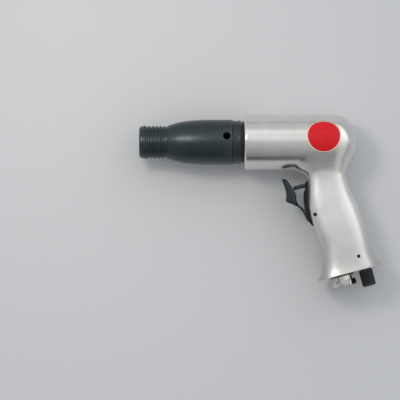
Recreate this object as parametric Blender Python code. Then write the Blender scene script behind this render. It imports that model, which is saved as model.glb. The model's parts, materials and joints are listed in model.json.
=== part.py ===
"""Pneumatic air hammer: a pistol-grip housing, a screwed-in steel barrel and everything that moves in them.

The tool lies on its side on z = 0, with its muzzle towards -X and its handle towards -Y.
Everything is placed from three axes: the tool axis, along X from the muzzle; the handle axis, which
leans back from it; and the throttle axis, across the handle. All lengths are in metres.
"""

import math

import bmesh
import bpy
from mathutils import Vector

# The tool axis: where its muzzle end stands over the floor, from the middle of the tool's footprint.
MUZZLE = Vector((-0.10673, 0.05246, 0.0242))
GAP = 0.0003  # between pieces that touch on the real tool
PAST = 0.002  # how far a cutter reaches past the surface that it opens

# Housing, along the tool axis from the muzzle.
HOUSING_RADIUS = 0.0242
HOUSING_FRONT = 0.0921
HOUSING_EDGE = 0.0025  # chamfer around the front face
DOME_START, HOUSING_REAR = 0.170, 0.1917
DOME_POWER = 2.1
BORE_RADIUS, BORE_END = 0.0169, 0.1442
CHAMBER_RADIUS, CHAMBER_END = 0.0130, 0.158
CHAMBER_DRILLED, CHAMBER_DRILL_TIP = 0.163, 0.004

# Handle, down its own axis, which crosses the tool axis at HANDLE_X and leans back by HANDLE_LEAN.
HANDLE_X = 0.152
HANDLE_LEAN = math.radians(15.2)
HANDLE_BASE = 0.1191
# How square the front and back of a section are, along and across it: 2 and 2 make an ellipse.
SECTION_FRONT, SECTION_BACK = (3.4, 3.0), (3.2, 2.05)
# Distance down the axis, how far the front and the back stand from it, and half the width.
HANDLE_STATIONS = (
    (0.0080, 0.0160, 0.0250, 0.0160),
    (0.0205, 0.0165, 0.0255, 0.0160),
    (0.0265, 0.0128, 0.0240, 0.0154),
    (0.0340, 0.0136, 0.0216, 0.0151),
    (0.0480, 0.0172, 0.0218, 0.0155),
    (0.0640, 0.0187, 0.0243, 0.0162),
    (0.0800, 0.0178, 0.0258, 0.0170),
    (0.0930, 0.0168, 0.0261, 0.0177),
    (0.1050, 0.0187, 0.0259, 0.0185),
    (0.1125, 0.0216, 0.0274, 0.0194),
    (0.1170, 0.0252, 0.0297, 0.0204),
    (0.1185, 0.0272, 0.0315, 0.0209),
    (0.1191, 0.0266, 0.0309, 0.0203),
)
LONG_STEP = 0.005  # stations further apart than this get a section between them

# Barrel, along the tool axis.
MUZZLE_RADIUS, MUZZLE_CHAMFER = 0.0139, 0.0013
THREAD_RUNOUT = 0.0006
THREAD_START, THREAD_PITCH, THREAD_TURNS = 0.0047, 0.0033, 5.25
THREAD_RADIUS, THREAD_DEPTH = 0.0145, 0.0010
NECK_RADIUS, NECK_END = 0.0136, 0.0250
BULB_RADIUS, BULB_FULL, BULB_END, BULB_EDGE = 0.01975, 0.0710, 0.0816, 0.0004
OGIVE_POWER = 3.4
SHANK_RADIUS, BARREL_REAR, SHANK_EDGE = 0.0165, 0.1221, 0.0008
SOCKET_RADIUS, SOCKET_MOUTH, SOCKET_END = 0.00515, 0.0075, 0.0262
PISTON_BORE, PISTON_BORE_START = 0.0095, 0.0285
EXHAUST_X, EXHAUST_RADIUS, EXHAUST_ANGLE = 0.0769, 0.0030, math.radians(16)
AIRWAY_RADIUS, AIRWAY_CIRCLE, AIRWAY_START = 0.0014, 0.0130, 0.0360
AIRWAY_PORT_X, AIRWAY_PORT_RADIUS = 0.0380, 0.0011
AIRWAY_ANGLES = tuple(EXHAUST_ANGLE + math.radians(a) for a in (60, 180, 300))

# Ring and seal between the barrel and the housing.
RING_START, RING_END, RING_RADIUS, RING_CROWN, RING_EDGE = 0.0819, 0.0896, 0.0189, 0.0193, 0.0003
RING_BEADS = ((0.0819, 0.0833), (0.0876, 0.0888))
SEAL_X, SEAL_SECTION = 0.0910, 0.0008

# Piston and valve, along the tool axis.
PISTON_RADIUS, PISTON_START, PISTON_LENGTH, PISTON_EDGE = 0.0092, 0.0300, 0.0300, 0.0010
PISTON_NOSE_RADIUS, PISTON_NOSE = 0.0050, 0.0030
HOLLOW_RADIUS, HOLLOW_DEPTH, HOLLOW_TIP = 0.0052, 0.0120, 0.0015
VALVE_RADIUS, VALVE_EDGE, VALVE_INLET = 0.0164, 0.0010, 0.0035
PLATE_START, PLATE_END, PLATE_HOLE = 0.1225, 0.1275, 0.0052
VALVE_BODY_START, VALVE_BODY_END = 0.1279, 0.1410
VALVE_CHAMBER_RADIUS, VALVE_CHAMBER_DEPTH = 0.0112, 0.0045
BODY_PORT_CIRCLE = 0.0085
DISC_RADIUS, DISC_HOLE, DISC_START, DISC_THICKNESS = 0.0105, 0.0020, 0.1284, 0.0016
DOWEL_RADIUS, DOWEL_CIRCLE, DOWEL_ANGLE = 0.0012, 0.0136, EXHAUST_ANGLE + math.radians(120)
DOWEL_START, DOWEL_END = 0.1184, 0.1355
WASHER_INNER, WASHER_OUTER = 0.0150, 0.0162
WASHER_START, WASHER_THICKNESS, WASHER_WAVE, WASHER_WAVES = 0.1420, 0.0006, 0.0005, 3

# Badge, let into the housing's side.
BADGE_X, BADGE_RADIUS, BADGE_ANGLE = 0.1615, 0.0150, math.radians(13.5)
BADGE_FLOOR, BADGE_TOP = 0.0237, 0.02435

# Trigger, on its pivot: positions down the handle axis and in front of it.
PIVOT_DOWN, PIVOT_FRONT, PIN_RADIUS = 0.0618, 0.0145, 0.0014
PIN_LENGTH, PIN_EDGE = 0.0165, 0.0003
BOSS_RADIUS, BOSS_HALF_WIDTH, ARM_HALF_WIDTH = 0.0084, 0.0034, 0.0032
PAD_HALF_WIDTH, PAD_EDGE = 0.0065, 0.0012
PAD_OUTLINE = (
    (0.0247, 0.0346),
    (0.0306, 0.0338),
    (0.0358, 0.0336),
    (0.0395, 0.0342),
    (0.0434, 0.0359),
    (0.0452, 0.0354),
    (0.0495, 0.0292),
    (0.0495, 0.0272),
    (0.0454, 0.0266),
    (0.0402, 0.0256),
    (0.0333, 0.0274),
    (0.0258, 0.0304),
    (0.0244, 0.0325),
)
ARM_OUTLINE = (
    (0.0445, 0.0285),
    (0.0490, 0.0295),
    (0.0525, 0.0262),
    (0.0561, 0.0243),
    (0.0618, 0.0229),
    (0.0618, 0.0145),
    (0.0575, 0.0205),
    (0.0552, 0.0222),
    (0.0525, 0.0239),
    (0.0490, 0.0266),
    (0.0470, 0.0275),
)
GUIDE_START, GUIDE_END, GUIDE_HALF_WIDTH = 0.0315, 0.0712, 0.0055
GUIDE_INSET = 0.0022  # how deep it sits in the handle
# Distance down the handle axis, and how far the guide stands out of the handle there.
GUIDE_PROUD = (
    (GUIDE_START, 0.0017),
    (0.0385, 0.0019),
    (0.0400, 0.0034),
    (0.0480, 0.0036),
    (0.0560, 0.0034),
    (0.0640, 0.0024),
    (GUIDE_END, 0.0010),
)
SLOT_START, SLOT_END, SLOT_FLOOR, SLOT_MOUTH = 0.0527, 0.0708, 0.0055, 0.0350
SLOT_HALF_WIDTH = 0.0038

# Throttle valve, across the handle: positions behind the handle axis are positive.
THROTTLE_DOWN, THROTTLE_BORE, THROTTLE_BORE_START, THROTTLE_BORE_END = 0.0350, 0.0055, -0.0300, 0.0160
STEM_RADIUS, STEM_TIP, STEM_END = 0.00175, -0.0265, -0.0020
STEM_NOSE_RADIUS, STEM_NOSE = 0.0008, 0.0006
BUSHING_RADIUS, BUSHING_FRONT, BUSHING_REAR, BUSHING_EDGE = 0.0052, -0.0103, -0.0020, 0.0004
BUSHING_RECESS, BUSHING_RECESS_DEPTH, STEM_SEAL_SECTION = 0.0012, 0.0022, 0.0004
BUSHING_GROOVE, BUSHING_GROOVE_RADIUS, GROOVE_HALF_WIDTH = -0.0073, 0.0034, 0.0011
BUSHING_SEAL_RADIUS, BUSHING_SEAL_SECTION = 0.00455, 0.0008
BALL_RADIUS, BALL_X = 0.0033, 0.0016
SPRING_RADIUS, SPRING_WIRE, SPRING_TURNS = 0.0033, 0.0004, 5
SPRING_START, SPRING_END = 0.0056, 0.0153

# Air inlet and regulator, down the handle axis, in front of it and behind it.
INLET_FRONT, INLET_BORE, INLET_BORE_START = 0.0050, 0.0087, 0.1010
SCREEN_BORE, SCREEN_BORE_START = 0.0060, 0.0940
SCREEN_START, SCREEN_RIM, SCREEN_RIM_RADIUS, SCREEN_WALL = 0.0955, 0.1017, 0.0082, 0.0006
SCREEN_HOLES, SCREEN_HOLE_RADIUS, SCREEN_HOLE_DOWN = 3, 0.0010, 0.0985
INLET_RADIUS, INLET_THREAD_START, INLET_END = 0.0084, 0.1021, 0.1298
HEX_FLATS, HEX_START, HEX_CHAMFER, HEX_CHAMFER_DEPTH = 0.019, 0.1245, 0.0008, 0.0013
HEX_BORE_OVERLAP = 0.0020
PORT_RADIUS, PORT_MOUTH, PORT_START, PORT_THROAT = 0.0058, 0.0070, 0.1120, 0.0045
PORT_STEP, PORT_EDGE = 0.0013, 0.0006
INLET_SEAL_RADIUS, INLET_SEAL_THICKNESS = 0.0106, 0.0012
REGULATOR_BEHIND, REGULATOR_BORE, REGULATOR_BORE_START = 0.0158, 0.0049, 0.0930
SPOOL_RADIUS, SPOOL_START, SPOOL_END, SPOOL_EDGE = 0.0045, 0.0950, 0.1193, 0.0005
SPOOL_TAIL, SPOOL_TAIL_END = 0.0025, 0.1307
SPOOL_GROOVE, SPOOL_GROOVE_RADIUS = 0.1130, 0.0029
SPOOL_SEAL_RADIUS, SPOOL_SEAL_SECTION = 0.0039, 0.0007
KNOB_RADIUS, KNOB_START, KNOB_END, KNOB_EDGE, KNOB_HOLE_END = 0.0060, 0.1200, 0.1352, 0.0007, 0.1312
KEEPER_DOWN, KEEPER_BEHIND, KEEPER_RADIUS, KEEPER_LENGTH = 0.1069, 0.0125, 0.00125, 0.0205
SPOOL_NECK, NECK_HALF_WIDTH = 0.0017, 0.0017  # where the keeper pin runs in the spool
MAIN_BEHIND, MAIN_RADIUS = 0.0120, 0.0033
CROSS_DOWN, CROSS_RADIUS = 0.0975, 0.0025
GATE_DOWN, GATE_RADIUS = 0.0980, 0.0020  # the hole through the spool
OUTLET_START, OUTLET_FRONT, OUTLET_RADIUS = 0.0100, 0.0060, 0.0030

LARGE, MEDIUM, SMALL = 40, 24, 12  # sides of a round piece
SHARP = math.radians(32)
PAD_SHARP = math.radians(50)


def empty_scene():
    for thing in list(bpy.data.objects):
        bpy.data.objects.remove(thing)


def finish(name, colour, roughness, metallic):
    made = bpy.data.materials.new(name)
    made.use_nodes = True
    shader = made.node_tree.nodes["Principled BSDF"]
    shader.inputs["Base Color"].default_value = (*colour, 1.0)
    shader.inputs["Roughness"].default_value = roughness
    shader.inputs["Metallic"].default_value = metallic
    return made


def axis_frame(name, parent=None, place=(0, 0, 0), turn=0.0):
    """An empty whose +X is the axis that its pieces are turned about."""
    frame = bpy.data.objects.new(name, None)
    bpy.context.scene.collection.objects.link(frame)
    frame.parent = parent
    frame.location = place
    frame.rotation_euler = (0, 0, turn)
    return frame


def to_object(name, bm, look, parent):
    bmesh.ops.recalc_face_normals(bm, faces=bm.faces)
    mesh = bpy.data.meshes.new(name)
    bm.to_mesh(mesh)
    bm.free()
    mesh.shade_smooth()
    mesh.set_sharp_from_angle(angle=SHARP)
    thing = bpy.data.objects.new(name, mesh)
    bpy.context.scene.collection.objects.link(thing)
    thing.parent = parent
    if look:
        mesh.materials.append(look)
    return thing


def skinned(bm, rings, closed):
    """Faces between neighbouring rings of vertices; a ring of one vertex is a point on the axis."""
    pairs = list(zip(rings, rings[1:]))
    if closed:
        pairs.append((rings[-1], rings[0]))
    for ring, following in pairs:
        sides = max(len(ring), len(following))
        if sides == 1:
            continue
        for k in range(sides):
            after = (k + 1) % sides
            corners = [ring[k % len(ring)], ring[after % len(ring)]]
            corners += [following[after % len(following)], following[k % len(following)]]
            bm.faces.new(list(dict.fromkeys(corners)))


def turned(name, profile, look, parent, sides=LARGE, phase=0.0):
    """A solid of revolution about +X, from the closed outline of its half section as (x, radius)."""
    bm = bmesh.new()
    rings = []
    for x, radius in profile:
        if radius == 0:
            rings.append([bm.verts.new((x, 0, 0))])
            continue
        angles = [phase + math.tau * k / sides for k in range(sides)]
        rings.append([bm.verts.new((x, radius * math.sin(a), radius * math.cos(a))) for a in angles])
    skinned(bm, rings, closed=True)
    return to_object(name, bm, look, parent)


def rod(name, start, end, radius, look, parent, sides=SMALL, chamfer=0.0):
    inner = radius - chamfer
    profile = [(start, 0), (start, inner), (end, inner), (end, 0)]
    if chamfer:
        profile[2:2] = [(start + chamfer, radius), (end - chamfer, radius)]
    return turned(name, profile, look, parent, sides)


def cross_rod(name, down, behind, radius, length, look, parent, sides=SMALL, chamfer=0.0):
    """A rod along Z, centred on a point of the parent's XY plane."""
    made = rod(name, -length / 2, length / 2, radius, look, parent, sides, chamfer)
    made.location = (down, behind, 0)
    made.rotation_euler = (0, math.radians(-90), 0)
    return made


def o_ring(name, x, radius, section, parent, sides=MEDIUM):
    steps = 6
    circle = [math.tau * k / steps for k in range(steps)]
    profile = [(x + section * math.cos(a), radius + section * math.sin(a)) for a in circle]
    return turned(name, profile, RUBBER, parent, sides)


def extruded(name, outline, half_width, look, parent):
    """A flat outline in XY, extruded the same way up and down."""
    bm = bmesh.new()
    layers = [[bm.verts.new((x, y, z)) for x, y in outline] for z in (-half_width, half_width)]
    skinned(bm, layers, closed=False)
    for layer in layers:
        bm.faces.new(layer)
    return to_object(name, bm, look, parent)


def boolean(body, other, operation):
    change = body.modifiers.new(other.name, "BOOLEAN")
    change.operation = operation
    change.object = other
    change.solver = "EXACT"
    other.hide_render = True
    other.display_type = "WIRE"


def cut(body, *cutters):
    for cutter in cutters:
        boolean(body, cutter, "DIFFERENCE")


def eased(stations, at):
    """A smooth curve through the stations' columns, read at a distance down the first column."""
    last = len(stations) - 1
    i = max(k for k in range(last) if stations[k][0] <= at or k == 0)
    low, high = stations[i], stations[i + 1]
    before, after = stations[max(i - 1, 0)], stations[min(i + 2, last)]
    span = high[0] - low[0]
    u = (at - low[0]) / span
    values = []
    for c in range(1, len(low)):
        leaving = (high[c] - before[c]) / (high[0] - before[0]) * span
        arriving = (after[c] - low[c]) / (after[0] - low[0]) * span
        value = (2 * u**3 - 3 * u**2 + 1) * low[c] + (u**3 - 2 * u**2 + u) * leaving
        values.append(value + (3 * u**2 - 2 * u**3) * high[c] + (u**3 - u**2) * arriving)
    return values


def handle_front(down):
    return eased(HANDLE_STATIONS, down)[0]


def dome_profile(steps=9):
    """The rounded rear end of the housing, from its full radius to the axis."""
    points = []
    for k in range(steps + 1):
        a = math.pi / 2 * k / steps
        along = math.sin(a) ** (2 / DOME_POWER) if k else 0.0
        out = math.cos(a) ** (2 / DOME_POWER) if k < steps else 0.0
        points.append((DOME_START + (HOUSING_REAR - DOME_START) * along, HOUSING_RADIUS * out))
    return points


def make_handle(parent, sides=32, between=2):
    """The grip as a solid loft, to be joined to the housing's cylinder."""
    downs = []
    for low, high in zip(HANDLE_STATIONS, HANDLE_STATIONS[1:]):
        steps = between if high[0] - low[0] > LONG_STEP else 1
        downs += [low[0] + (high[0] - low[0]) * k / steps for k in range(steps)]
    downs.append(HANDLE_BASE)
    bm = bmesh.new()
    rings = []
    for down in downs:
        front, back, half_width = eased(HANDLE_STATIONS, down)
        middle, depth = (back - front) / 2, (back + front) / 2
        ring = []
        for k in range(sides):
            a = math.tau * k / sides
            c, s = math.cos(a), math.sin(a)
            along, across = SECTION_FRONT if c < 0 else SECTION_BACK
            y = middle + depth * math.copysign(abs(c) ** (2 / along), c)
            z = half_width * math.copysign(abs(s) ** (2 / across), s)
            ring.append(bm.verts.new((down, y, z)))
        rings.append(ring)
    skinned(bm, rings, closed=False)
    bm.faces.new(rings[0])
    bm.faces.new(rings[-1])
    return to_object("handle_loft", bm, None, parent)


def curved_disc(name, radius, low, high, look, parent, rings=3, sides=24):
    """A round plate that follows the housing's cylinder, between two radii."""
    bm = bmesh.new()
    layers = []
    for height in (low, high):
        layer = []
        for j in range(rings + 1):
            count = sides if j else 1
            ring = []
            for k in range(count):
                a = math.tau * k / sides
                x = BADGE_X + radius * j / rings * math.cos(a)
                around = BADGE_ANGLE + radius * j / rings * math.sin(a) / HOUSING_RADIUS
                ring.append(bm.verts.new((x, height * math.sin(around), height * math.cos(around))))
            layer.append(ring)
        skinned(bm, layer, closed=False)
        layers.append(layer)
    skinned(bm, [layers[0][-1], layers[1][-1]], closed=False)
    return to_object(name, bm, look, parent)


def guide_outline(gap):
    """The trigger guide's outline, following the front of the handle; gap makes it a pocket."""
    downs = [down for down, _ in GUIDE_PROUD]
    downs[0] -= gap
    downs[-1] += gap
    fronts = [handle_front(down) for down in downs]
    prouds = [proud + PAST if gap else proud for _, proud in GUIDE_PROUD]
    outer = [(down, -(front + proud)) for down, front, proud in zip(downs, fronts, prouds)]
    inner = [(down, -(front - GUIDE_INSET - gap)) for down, front in zip(downs, fronts)]
    return outer + inner[::-1]


def make_housing():
    profile = [(HOUSING_FRONT, 0), (HOUSING_FRONT, HOUSING_RADIUS - HOUSING_EDGE)]
    profile += [(HOUSING_FRONT + HOUSING_EDGE, HOUSING_RADIUS)] + dome_profile()
    housing = turned("housing", profile, ALUMINIUM, TOOL)
    boolean(housing, make_handle(HANDLE), "UNION")
    bore = [(HOUSING_FRONT - PAST, 0), (HOUSING_FRONT - PAST, BORE_RADIUS)]
    bore += [(BORE_END, BORE_RADIUS), (BORE_END, CHAMBER_RADIUS), (CHAMBER_END, CHAMBER_RADIUS)]
    bore += [(CHAMBER_DRILLED, CHAMBER_DRILL_TIP), (CHAMBER_DRILLED, 0)]
    slot = [(SLOT_START, -SLOT_FLOOR), (SLOT_END, -SLOT_FLOOR)]
    slot += [(SLOT_END, -SLOT_MOUTH), (SLOT_START, -SLOT_MOUTH)]
    below, across = HANDLE_BASE + PAST, 2 * (HOUSING_RADIUS + PAST)
    inlet = [(SCREEN_BORE_START, 0), (SCREEN_BORE_START, SCREEN_BORE), (INLET_BORE_START, SCREEN_BORE)]
    inlet += [(INLET_BORE_START, INLET_BORE), (below, INLET_BORE), (below, 0)]
    cross = rod("cross_port", -CROSS_RADIUS, REGULATOR_BEHIND, CROSS_RADIUS, None, HANDLE)
    cross.location.x = CROSS_DOWN
    cross.rotation_euler.z = math.radians(90)
    main = rod("main_airway", THROTTLE_DOWN, CROSS_DOWN, MAIN_RADIUS, None, HANDLE)
    main.location.y = MAIN_BEHIND
    outlet = rod("outlet_airway", OUTLET_START, THROTTLE_DOWN, OUTLET_RADIUS, None, HANDLE)
    outlet.location.y = -OUTLET_FRONT
    pivot = (PIVOT_DOWN, -PIVOT_FRONT, PIN_RADIUS + GAP, across, None, HANDLE)
    keeper = (KEEPER_DOWN, KEEPER_BEHIND, KEEPER_RADIUS + GAP, across, None, HANDLE)
    cut(
        housing,
        turned("housing_bore", bore, None, TOOL),
        curved_disc("badge_pocket", BADGE_RADIUS + GAP, BADGE_FLOOR - GAP, BADGE_TOP + PAST, None, TOOL),
        extruded("guide_pocket", guide_outline(GAP), GUIDE_HALF_WIDTH + GAP, None, HANDLE),
        extruded("trigger_slot", slot, SLOT_HALF_WIDTH, None, HANDLE),
        rod("throttle_bore", THROTTLE_BORE_START, THROTTLE_BORE_END, THROTTLE_BORE, None, THROTTLE, 24),
        main,
        outlet,
        turned("inlet_bore", inlet, None, INLET, MEDIUM),
        rod("regulator_bore", REGULATOR_BORE_START, below, REGULATOR_BORE, None, REGULATOR, 24),
        cross,
        cross_rod("pivot_hole", *pivot),
        cross_rod("keeper_hole", *keeper),
    )
    return housing


def thread_profile():
    """Rounded grooves, one for each turn of the retainer thread."""
    points = []
    steps = 4
    for k in range(int(THREAD_TURNS * steps) + 1):
        depth = THREAD_DEPTH * (1 - math.cos(math.tau * k / steps)) / 2
        points.append((THREAD_START + THREAD_PITCH * k / steps, THREAD_RADIUS - depth))
    return points


def bulb_profile(steps=9):
    points = []
    for k in range(steps + 1):
        share = (k / steps) ** 1.4
        out = 1 - (1 - share) ** OGIVE_POWER
        radius = THREAD_RADIUS + (BULB_RADIUS - THREAD_RADIUS) * out
        points.append((NECK_END + (BULB_FULL - NECK_END) * share, radius))
    return points


def around(x, radius, angle):
    """A point at an angle about the tool axis, counted from straight up towards +Y."""
    return (x, radius * math.sin(angle), radius * math.cos(angle))


def radial_rod(name, x, inner, outer, radius, angle, parent):
    made = cross_rod(name, 0, 0, radius, outer - inner, None, parent)
    made.location = around(x, (inner + outer) / 2, angle)
    made.rotation_euler = (-angle, math.radians(-90), 0)
    made.rotation_mode = "ZYX"
    return made


def off_axis_rod(name, start, end, radius, circle, angle, look, parent):
    made = rod(name, start, end, radius, look, parent, 12)
    made.location = around(0, circle, angle)
    return made


def make_barrel():
    thread_end = THREAD_START + THREAD_PITCH * THREAD_TURNS
    outer = [(0, SOCKET_MOUTH), (0, MUZZLE_RADIUS - MUZZLE_CHAMFER), (MUZZLE_CHAMFER, MUZZLE_RADIUS)]
    outer += [(THREAD_START - THREAD_RUNOUT, MUZZLE_RADIUS)] + thread_profile()
    outer += [(thread_end + THREAD_RUNOUT, NECK_RADIUS)]
    outer += [(NECK_END - THREAD_RUNOUT, NECK_RADIUS)] + bulb_profile()
    outer += [(BULB_END - BULB_EDGE, BULB_RADIUS), (BULB_END, BULB_RADIUS - BULB_EDGE)]
    outer += [(BULB_END, SHANK_RADIUS), (BARREL_REAR - SHANK_EDGE, SHANK_RADIUS)]
    outer += [(BARREL_REAR, SHANK_RADIUS - SHANK_EDGE)]
    bore = [(BARREL_REAR, PISTON_BORE), (PISTON_BORE_START, PISTON_BORE), (SOCKET_END, SOCKET_RADIUS)]
    bore += [(SOCKET_MOUTH - SOCKET_RADIUS, SOCKET_RADIUS)]
    barrel = turned("barrel", outer + bore, BLACK_STEEL, TOOL)
    inside, outside, behind = PISTON_BORE - PAST, BULB_RADIUS + PAST, BARREL_REAR + PAST
    cut(barrel, radial_rod("exhaust_port", EXHAUST_X, inside, outside, EXHAUST_RADIUS, EXHAUST_ANGLE, TOOL))
    for number, angle in enumerate(AIRWAY_ANGLES, 1):
        along = (AIRWAY_START, behind, AIRWAY_RADIUS, AIRWAY_CIRCLE, angle, None, TOOL)
        across = (AIRWAY_PORT_X, inside, AIRWAY_CIRCLE, AIRWAY_PORT_RADIUS, angle, TOOL)
        cut(
            barrel,
            off_axis_rod(f"airway_{number}", *along),
            radial_rod(f"airway_port_{number}", *across),
        )
    hole = (DOWEL_START - GAP, behind, DOWEL_RADIUS + GAP, DOWEL_CIRCLE, DOWEL_ANGLE)
    cut(barrel, off_axis_rod("barrel_dowel_hole", *hole, None, TOOL))
    return barrel


def make_ring():
    """The ring that locks the barrel's thread, with a raised bead near each end."""
    inner = SHANK_RADIUS + GAP
    profile = [(RING_START, inner)]
    for start, end in RING_BEADS:
        profile += [(start, RING_RADIUS), (start + RING_EDGE, RING_CROWN)]
        profile += [(end - RING_EDGE, RING_CROWN), (end, RING_RADIUS)]
    profile += [(RING_END, RING_RADIUS), (RING_END, inner)]
    return turned("lock_ring", profile, BLACK_STEEL, TOOL)


def make_piston():
    front, rear = PISTON_START, PISTON_START + PISTON_LENGTH
    hollow = rear - HOLLOW_DEPTH
    profile = [(front, 0), (front, PISTON_NOSE_RADIUS), (front + PISTON_NOSE, PISTON_RADIUS)]
    profile += [(rear - PISTON_EDGE, PISTON_RADIUS), (rear, PISTON_RADIUS - PISTON_EDGE)]
    profile += [(rear, HOLLOW_RADIUS), (hollow, HOLLOW_RADIUS), (hollow - HOLLOW_TIP, 0)]
    return turned("piston", profile, BARE_STEEL, TOOL, MEDIUM)


def make_valve():
    """The plate and the body that hold the valve disc, behind the barrel, and what holds them."""
    plate = [(PLATE_START, PLATE_HOLE), (PLATE_START, VALVE_RADIUS)]
    plate += [(PLATE_END, VALVE_RADIUS), (PLATE_END, PLATE_HOLE)]
    valve_plate = turned("valve_plate", plate, BARE_STEEL, TOOL, MEDIUM)
    floor = VALVE_BODY_START + VALVE_CHAMBER_DEPTH
    body = [(VALVE_BODY_START, VALVE_CHAMBER_RADIUS), (VALVE_BODY_START, VALVE_RADIUS)]
    body += [(VALVE_BODY_END - VALVE_EDGE, VALVE_RADIUS), (VALVE_BODY_END, VALVE_RADIUS - VALVE_EDGE)]
    body += [(VALVE_BODY_END, VALVE_INLET), (floor, VALVE_INLET), (floor, VALVE_CHAMBER_RADIUS)]
    valve_body = turned("valve_body", body, BARE_STEEL, TOOL, MEDIUM)
    through_plate = (PLATE_START - PAST, PLATE_END + PAST)
    through_floor = (floor - PAST, VALVE_BODY_END + PAST)
    for number, angle in enumerate(AIRWAY_ANGLES, 1):
        hole = (AIRWAY_RADIUS, AIRWAY_CIRCLE, angle, None, TOOL)
        cut(valve_plate, off_axis_rod(f"plate_port_{number}", *through_plate, *hole))
        hole = (AIRWAY_RADIUS, BODY_PORT_CIRCLE, angle, None, TOOL)
        cut(valve_body, off_axis_rod(f"body_port_{number}", *through_floor, *hole))
    hole = (DOWEL_RADIUS + GAP, DOWEL_CIRCLE, DOWEL_ANGLE, None, TOOL)
    cut(valve_plate, off_axis_rod("plate_dowel_hole", *through_plate, *hole))
    cut(valve_body, off_axis_rod("body_dowel_hole", VALVE_BODY_START - PAST, DOWEL_END + GAP, *hole))
    disc_end = DISC_START + DISC_THICKNESS
    disc = [(DISC_START, DISC_HOLE), (DISC_START, DISC_RADIUS)]
    disc += [(disc_end, DISC_RADIUS), (disc_end, DISC_HOLE)]
    turned("valve_disc", disc, BARE_STEEL, TOOL, MEDIUM)
    dowel = (DOWEL_START, DOWEL_END, DOWEL_RADIUS, DOWEL_CIRCLE, DOWEL_ANGLE)
    off_axis_rod("valve_dowel", *dowel, BARE_STEEL, TOOL)
    make_wave_washer()


def make_wave_washer():
    """A spring washer, pressing the valve against the barrel."""
    bm = bmesh.new()
    rings = []
    for radius, side in ((WASHER_INNER, 0), (WASHER_OUTER, 0), (WASHER_OUTER, 1), (WASHER_INNER, 1)):
        ring = []
        for k in range(MEDIUM):
            a = math.tau * k / MEDIUM
            x = WASHER_START + side * WASHER_THICKNESS + WASHER_WAVE * math.sin(WASHER_WAVES * a)
            ring.append(bm.verts.new((x, radius * math.sin(a), radius * math.cos(a))))
        rings.append(ring)
    skinned(bm, rings, closed=True)
    return to_object("wave_washer", bm, BARE_STEEL, TOOL)


def from_pivot(outline):
    return [(down - PIVOT_DOWN, PIVOT_FRONT - front) for down, front in outline]


def make_trigger():
    trigger = extruded("trigger", from_pivot(PAD_OUTLINE), PAD_HALF_WIDTH, BLACK_PAINT, PIVOT)
    edges = trigger.modifiers.new("rounded_pad", "BEVEL")
    edges.width = PAD_EDGE
    edges.segments = 2
    edges.limit_method = "ANGLE"
    edges.angle_limit = PAD_SHARP
    arm = extruded("trigger_arm", from_pivot(ARM_OUTLINE), ARM_HALF_WIDTH, None, PIVOT)
    boss = cross_rod("trigger_boss", 0, 0, BOSS_RADIUS, 2 * BOSS_HALF_WIDTH, None, PIVOT, MEDIUM)
    boolean(trigger, arm, "UNION")
    boolean(trigger, boss, "UNION")
    reach = 2 * (BOSS_HALF_WIDTH + PAST)
    cut(trigger, cross_rod("trigger_hole", 0, 0, PIN_RADIUS + GAP, reach, None, PIVOT))
    pin = (PIVOT_DOWN, -PIVOT_FRONT, PIN_RADIUS, PIN_LENGTH)
    cross_rod("trigger_pin", *pin, BARE_STEEL, HANDLE, SMALL, PIN_EDGE)
    guide = extruded("trigger_guide", guide_outline(0), GUIDE_HALF_WIDTH, BLACK_PLASTIC, HANDLE)
    slot = [(SLOT_START, 0), (SLOT_END, 0), (SLOT_END, -SLOT_MOUTH), (SLOT_START, -SLOT_MOUTH)]
    stem_hole = rod("guide_stem_hole", THROTTLE_BORE_START, 0, STEM_RADIUS + GAP, None, THROTTLE)
    cut(guide, extruded("guide_slot", slot, SLOT_HALF_WIDTH, None, HANDLE), stem_hole)


def make_throttle():
    """The stem that the trigger pushes, its guide bush, and the ball valve with its spring."""
    stem = [(STEM_TIP, 0), (STEM_TIP, STEM_NOSE_RADIUS), (STEM_TIP + STEM_NOSE, STEM_RADIUS)]
    stem += [(STEM_END, STEM_RADIUS), (STEM_END, 0)]
    turned("throttle_stem", stem, BARE_STEEL, THROTTLE, SMALL)
    hole, recess = STEM_RADIUS + GAP, BUSHING_FRONT + BUSHING_RECESS_DEPTH
    groove = (BUSHING_GROOVE - GROOVE_HALF_WIDTH, BUSHING_GROOVE + GROOVE_HALF_WIDTH)
    bushing = [(BUSHING_FRONT, hole + BUSHING_RECESS), (BUSHING_FRONT, BUSHING_RADIUS)]
    bushing += [(groove[0], BUSHING_RADIUS), (groove[0], BUSHING_GROOVE_RADIUS)]
    bushing += [(groove[1], BUSHING_GROOVE_RADIUS), (groove[1], BUSHING_RADIUS)]
    bushing += [(BUSHING_REAR - BUSHING_EDGE, BUSHING_RADIUS), (BUSHING_REAR, BUSHING_RADIUS - BUSHING_EDGE)]
    bushing += [(BUSHING_REAR, hole), (recess, hole), (recess, hole + BUSHING_RECESS)]
    turned("throttle_bushing", bushing, BRASS, THROTTLE, 24)
    o_ring("throttle_o_ring", BUSHING_GROOVE, BUSHING_SEAL_RADIUS, BUSHING_SEAL_SECTION, THROTTLE, 24)
    middle = (BUSHING_FRONT + recess) / 2
    o_ring("stem_o_ring", middle, hole + STEM_SEAL_SECTION, STEM_SEAL_SECTION, THROTTLE, SMALL)
    steps = 8
    arc = [math.pi * k / steps for k in range(1, steps)]
    ball = [(BALL_X - BALL_RADIUS, 0)]
    ball += [(BALL_X - BALL_RADIUS * math.cos(a), BALL_RADIUS * math.sin(a)) for a in arc]
    ball += [(BALL_X + BALL_RADIUS, 0)]
    turned("throttle_ball", ball, BARE_STEEL, THROTTLE, SMALL)
    make_spring("throttle_spring", SPRING_START, SPRING_END, SPRING_RADIUS, SPRING_WIRE, SPRING_TURNS)


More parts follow.
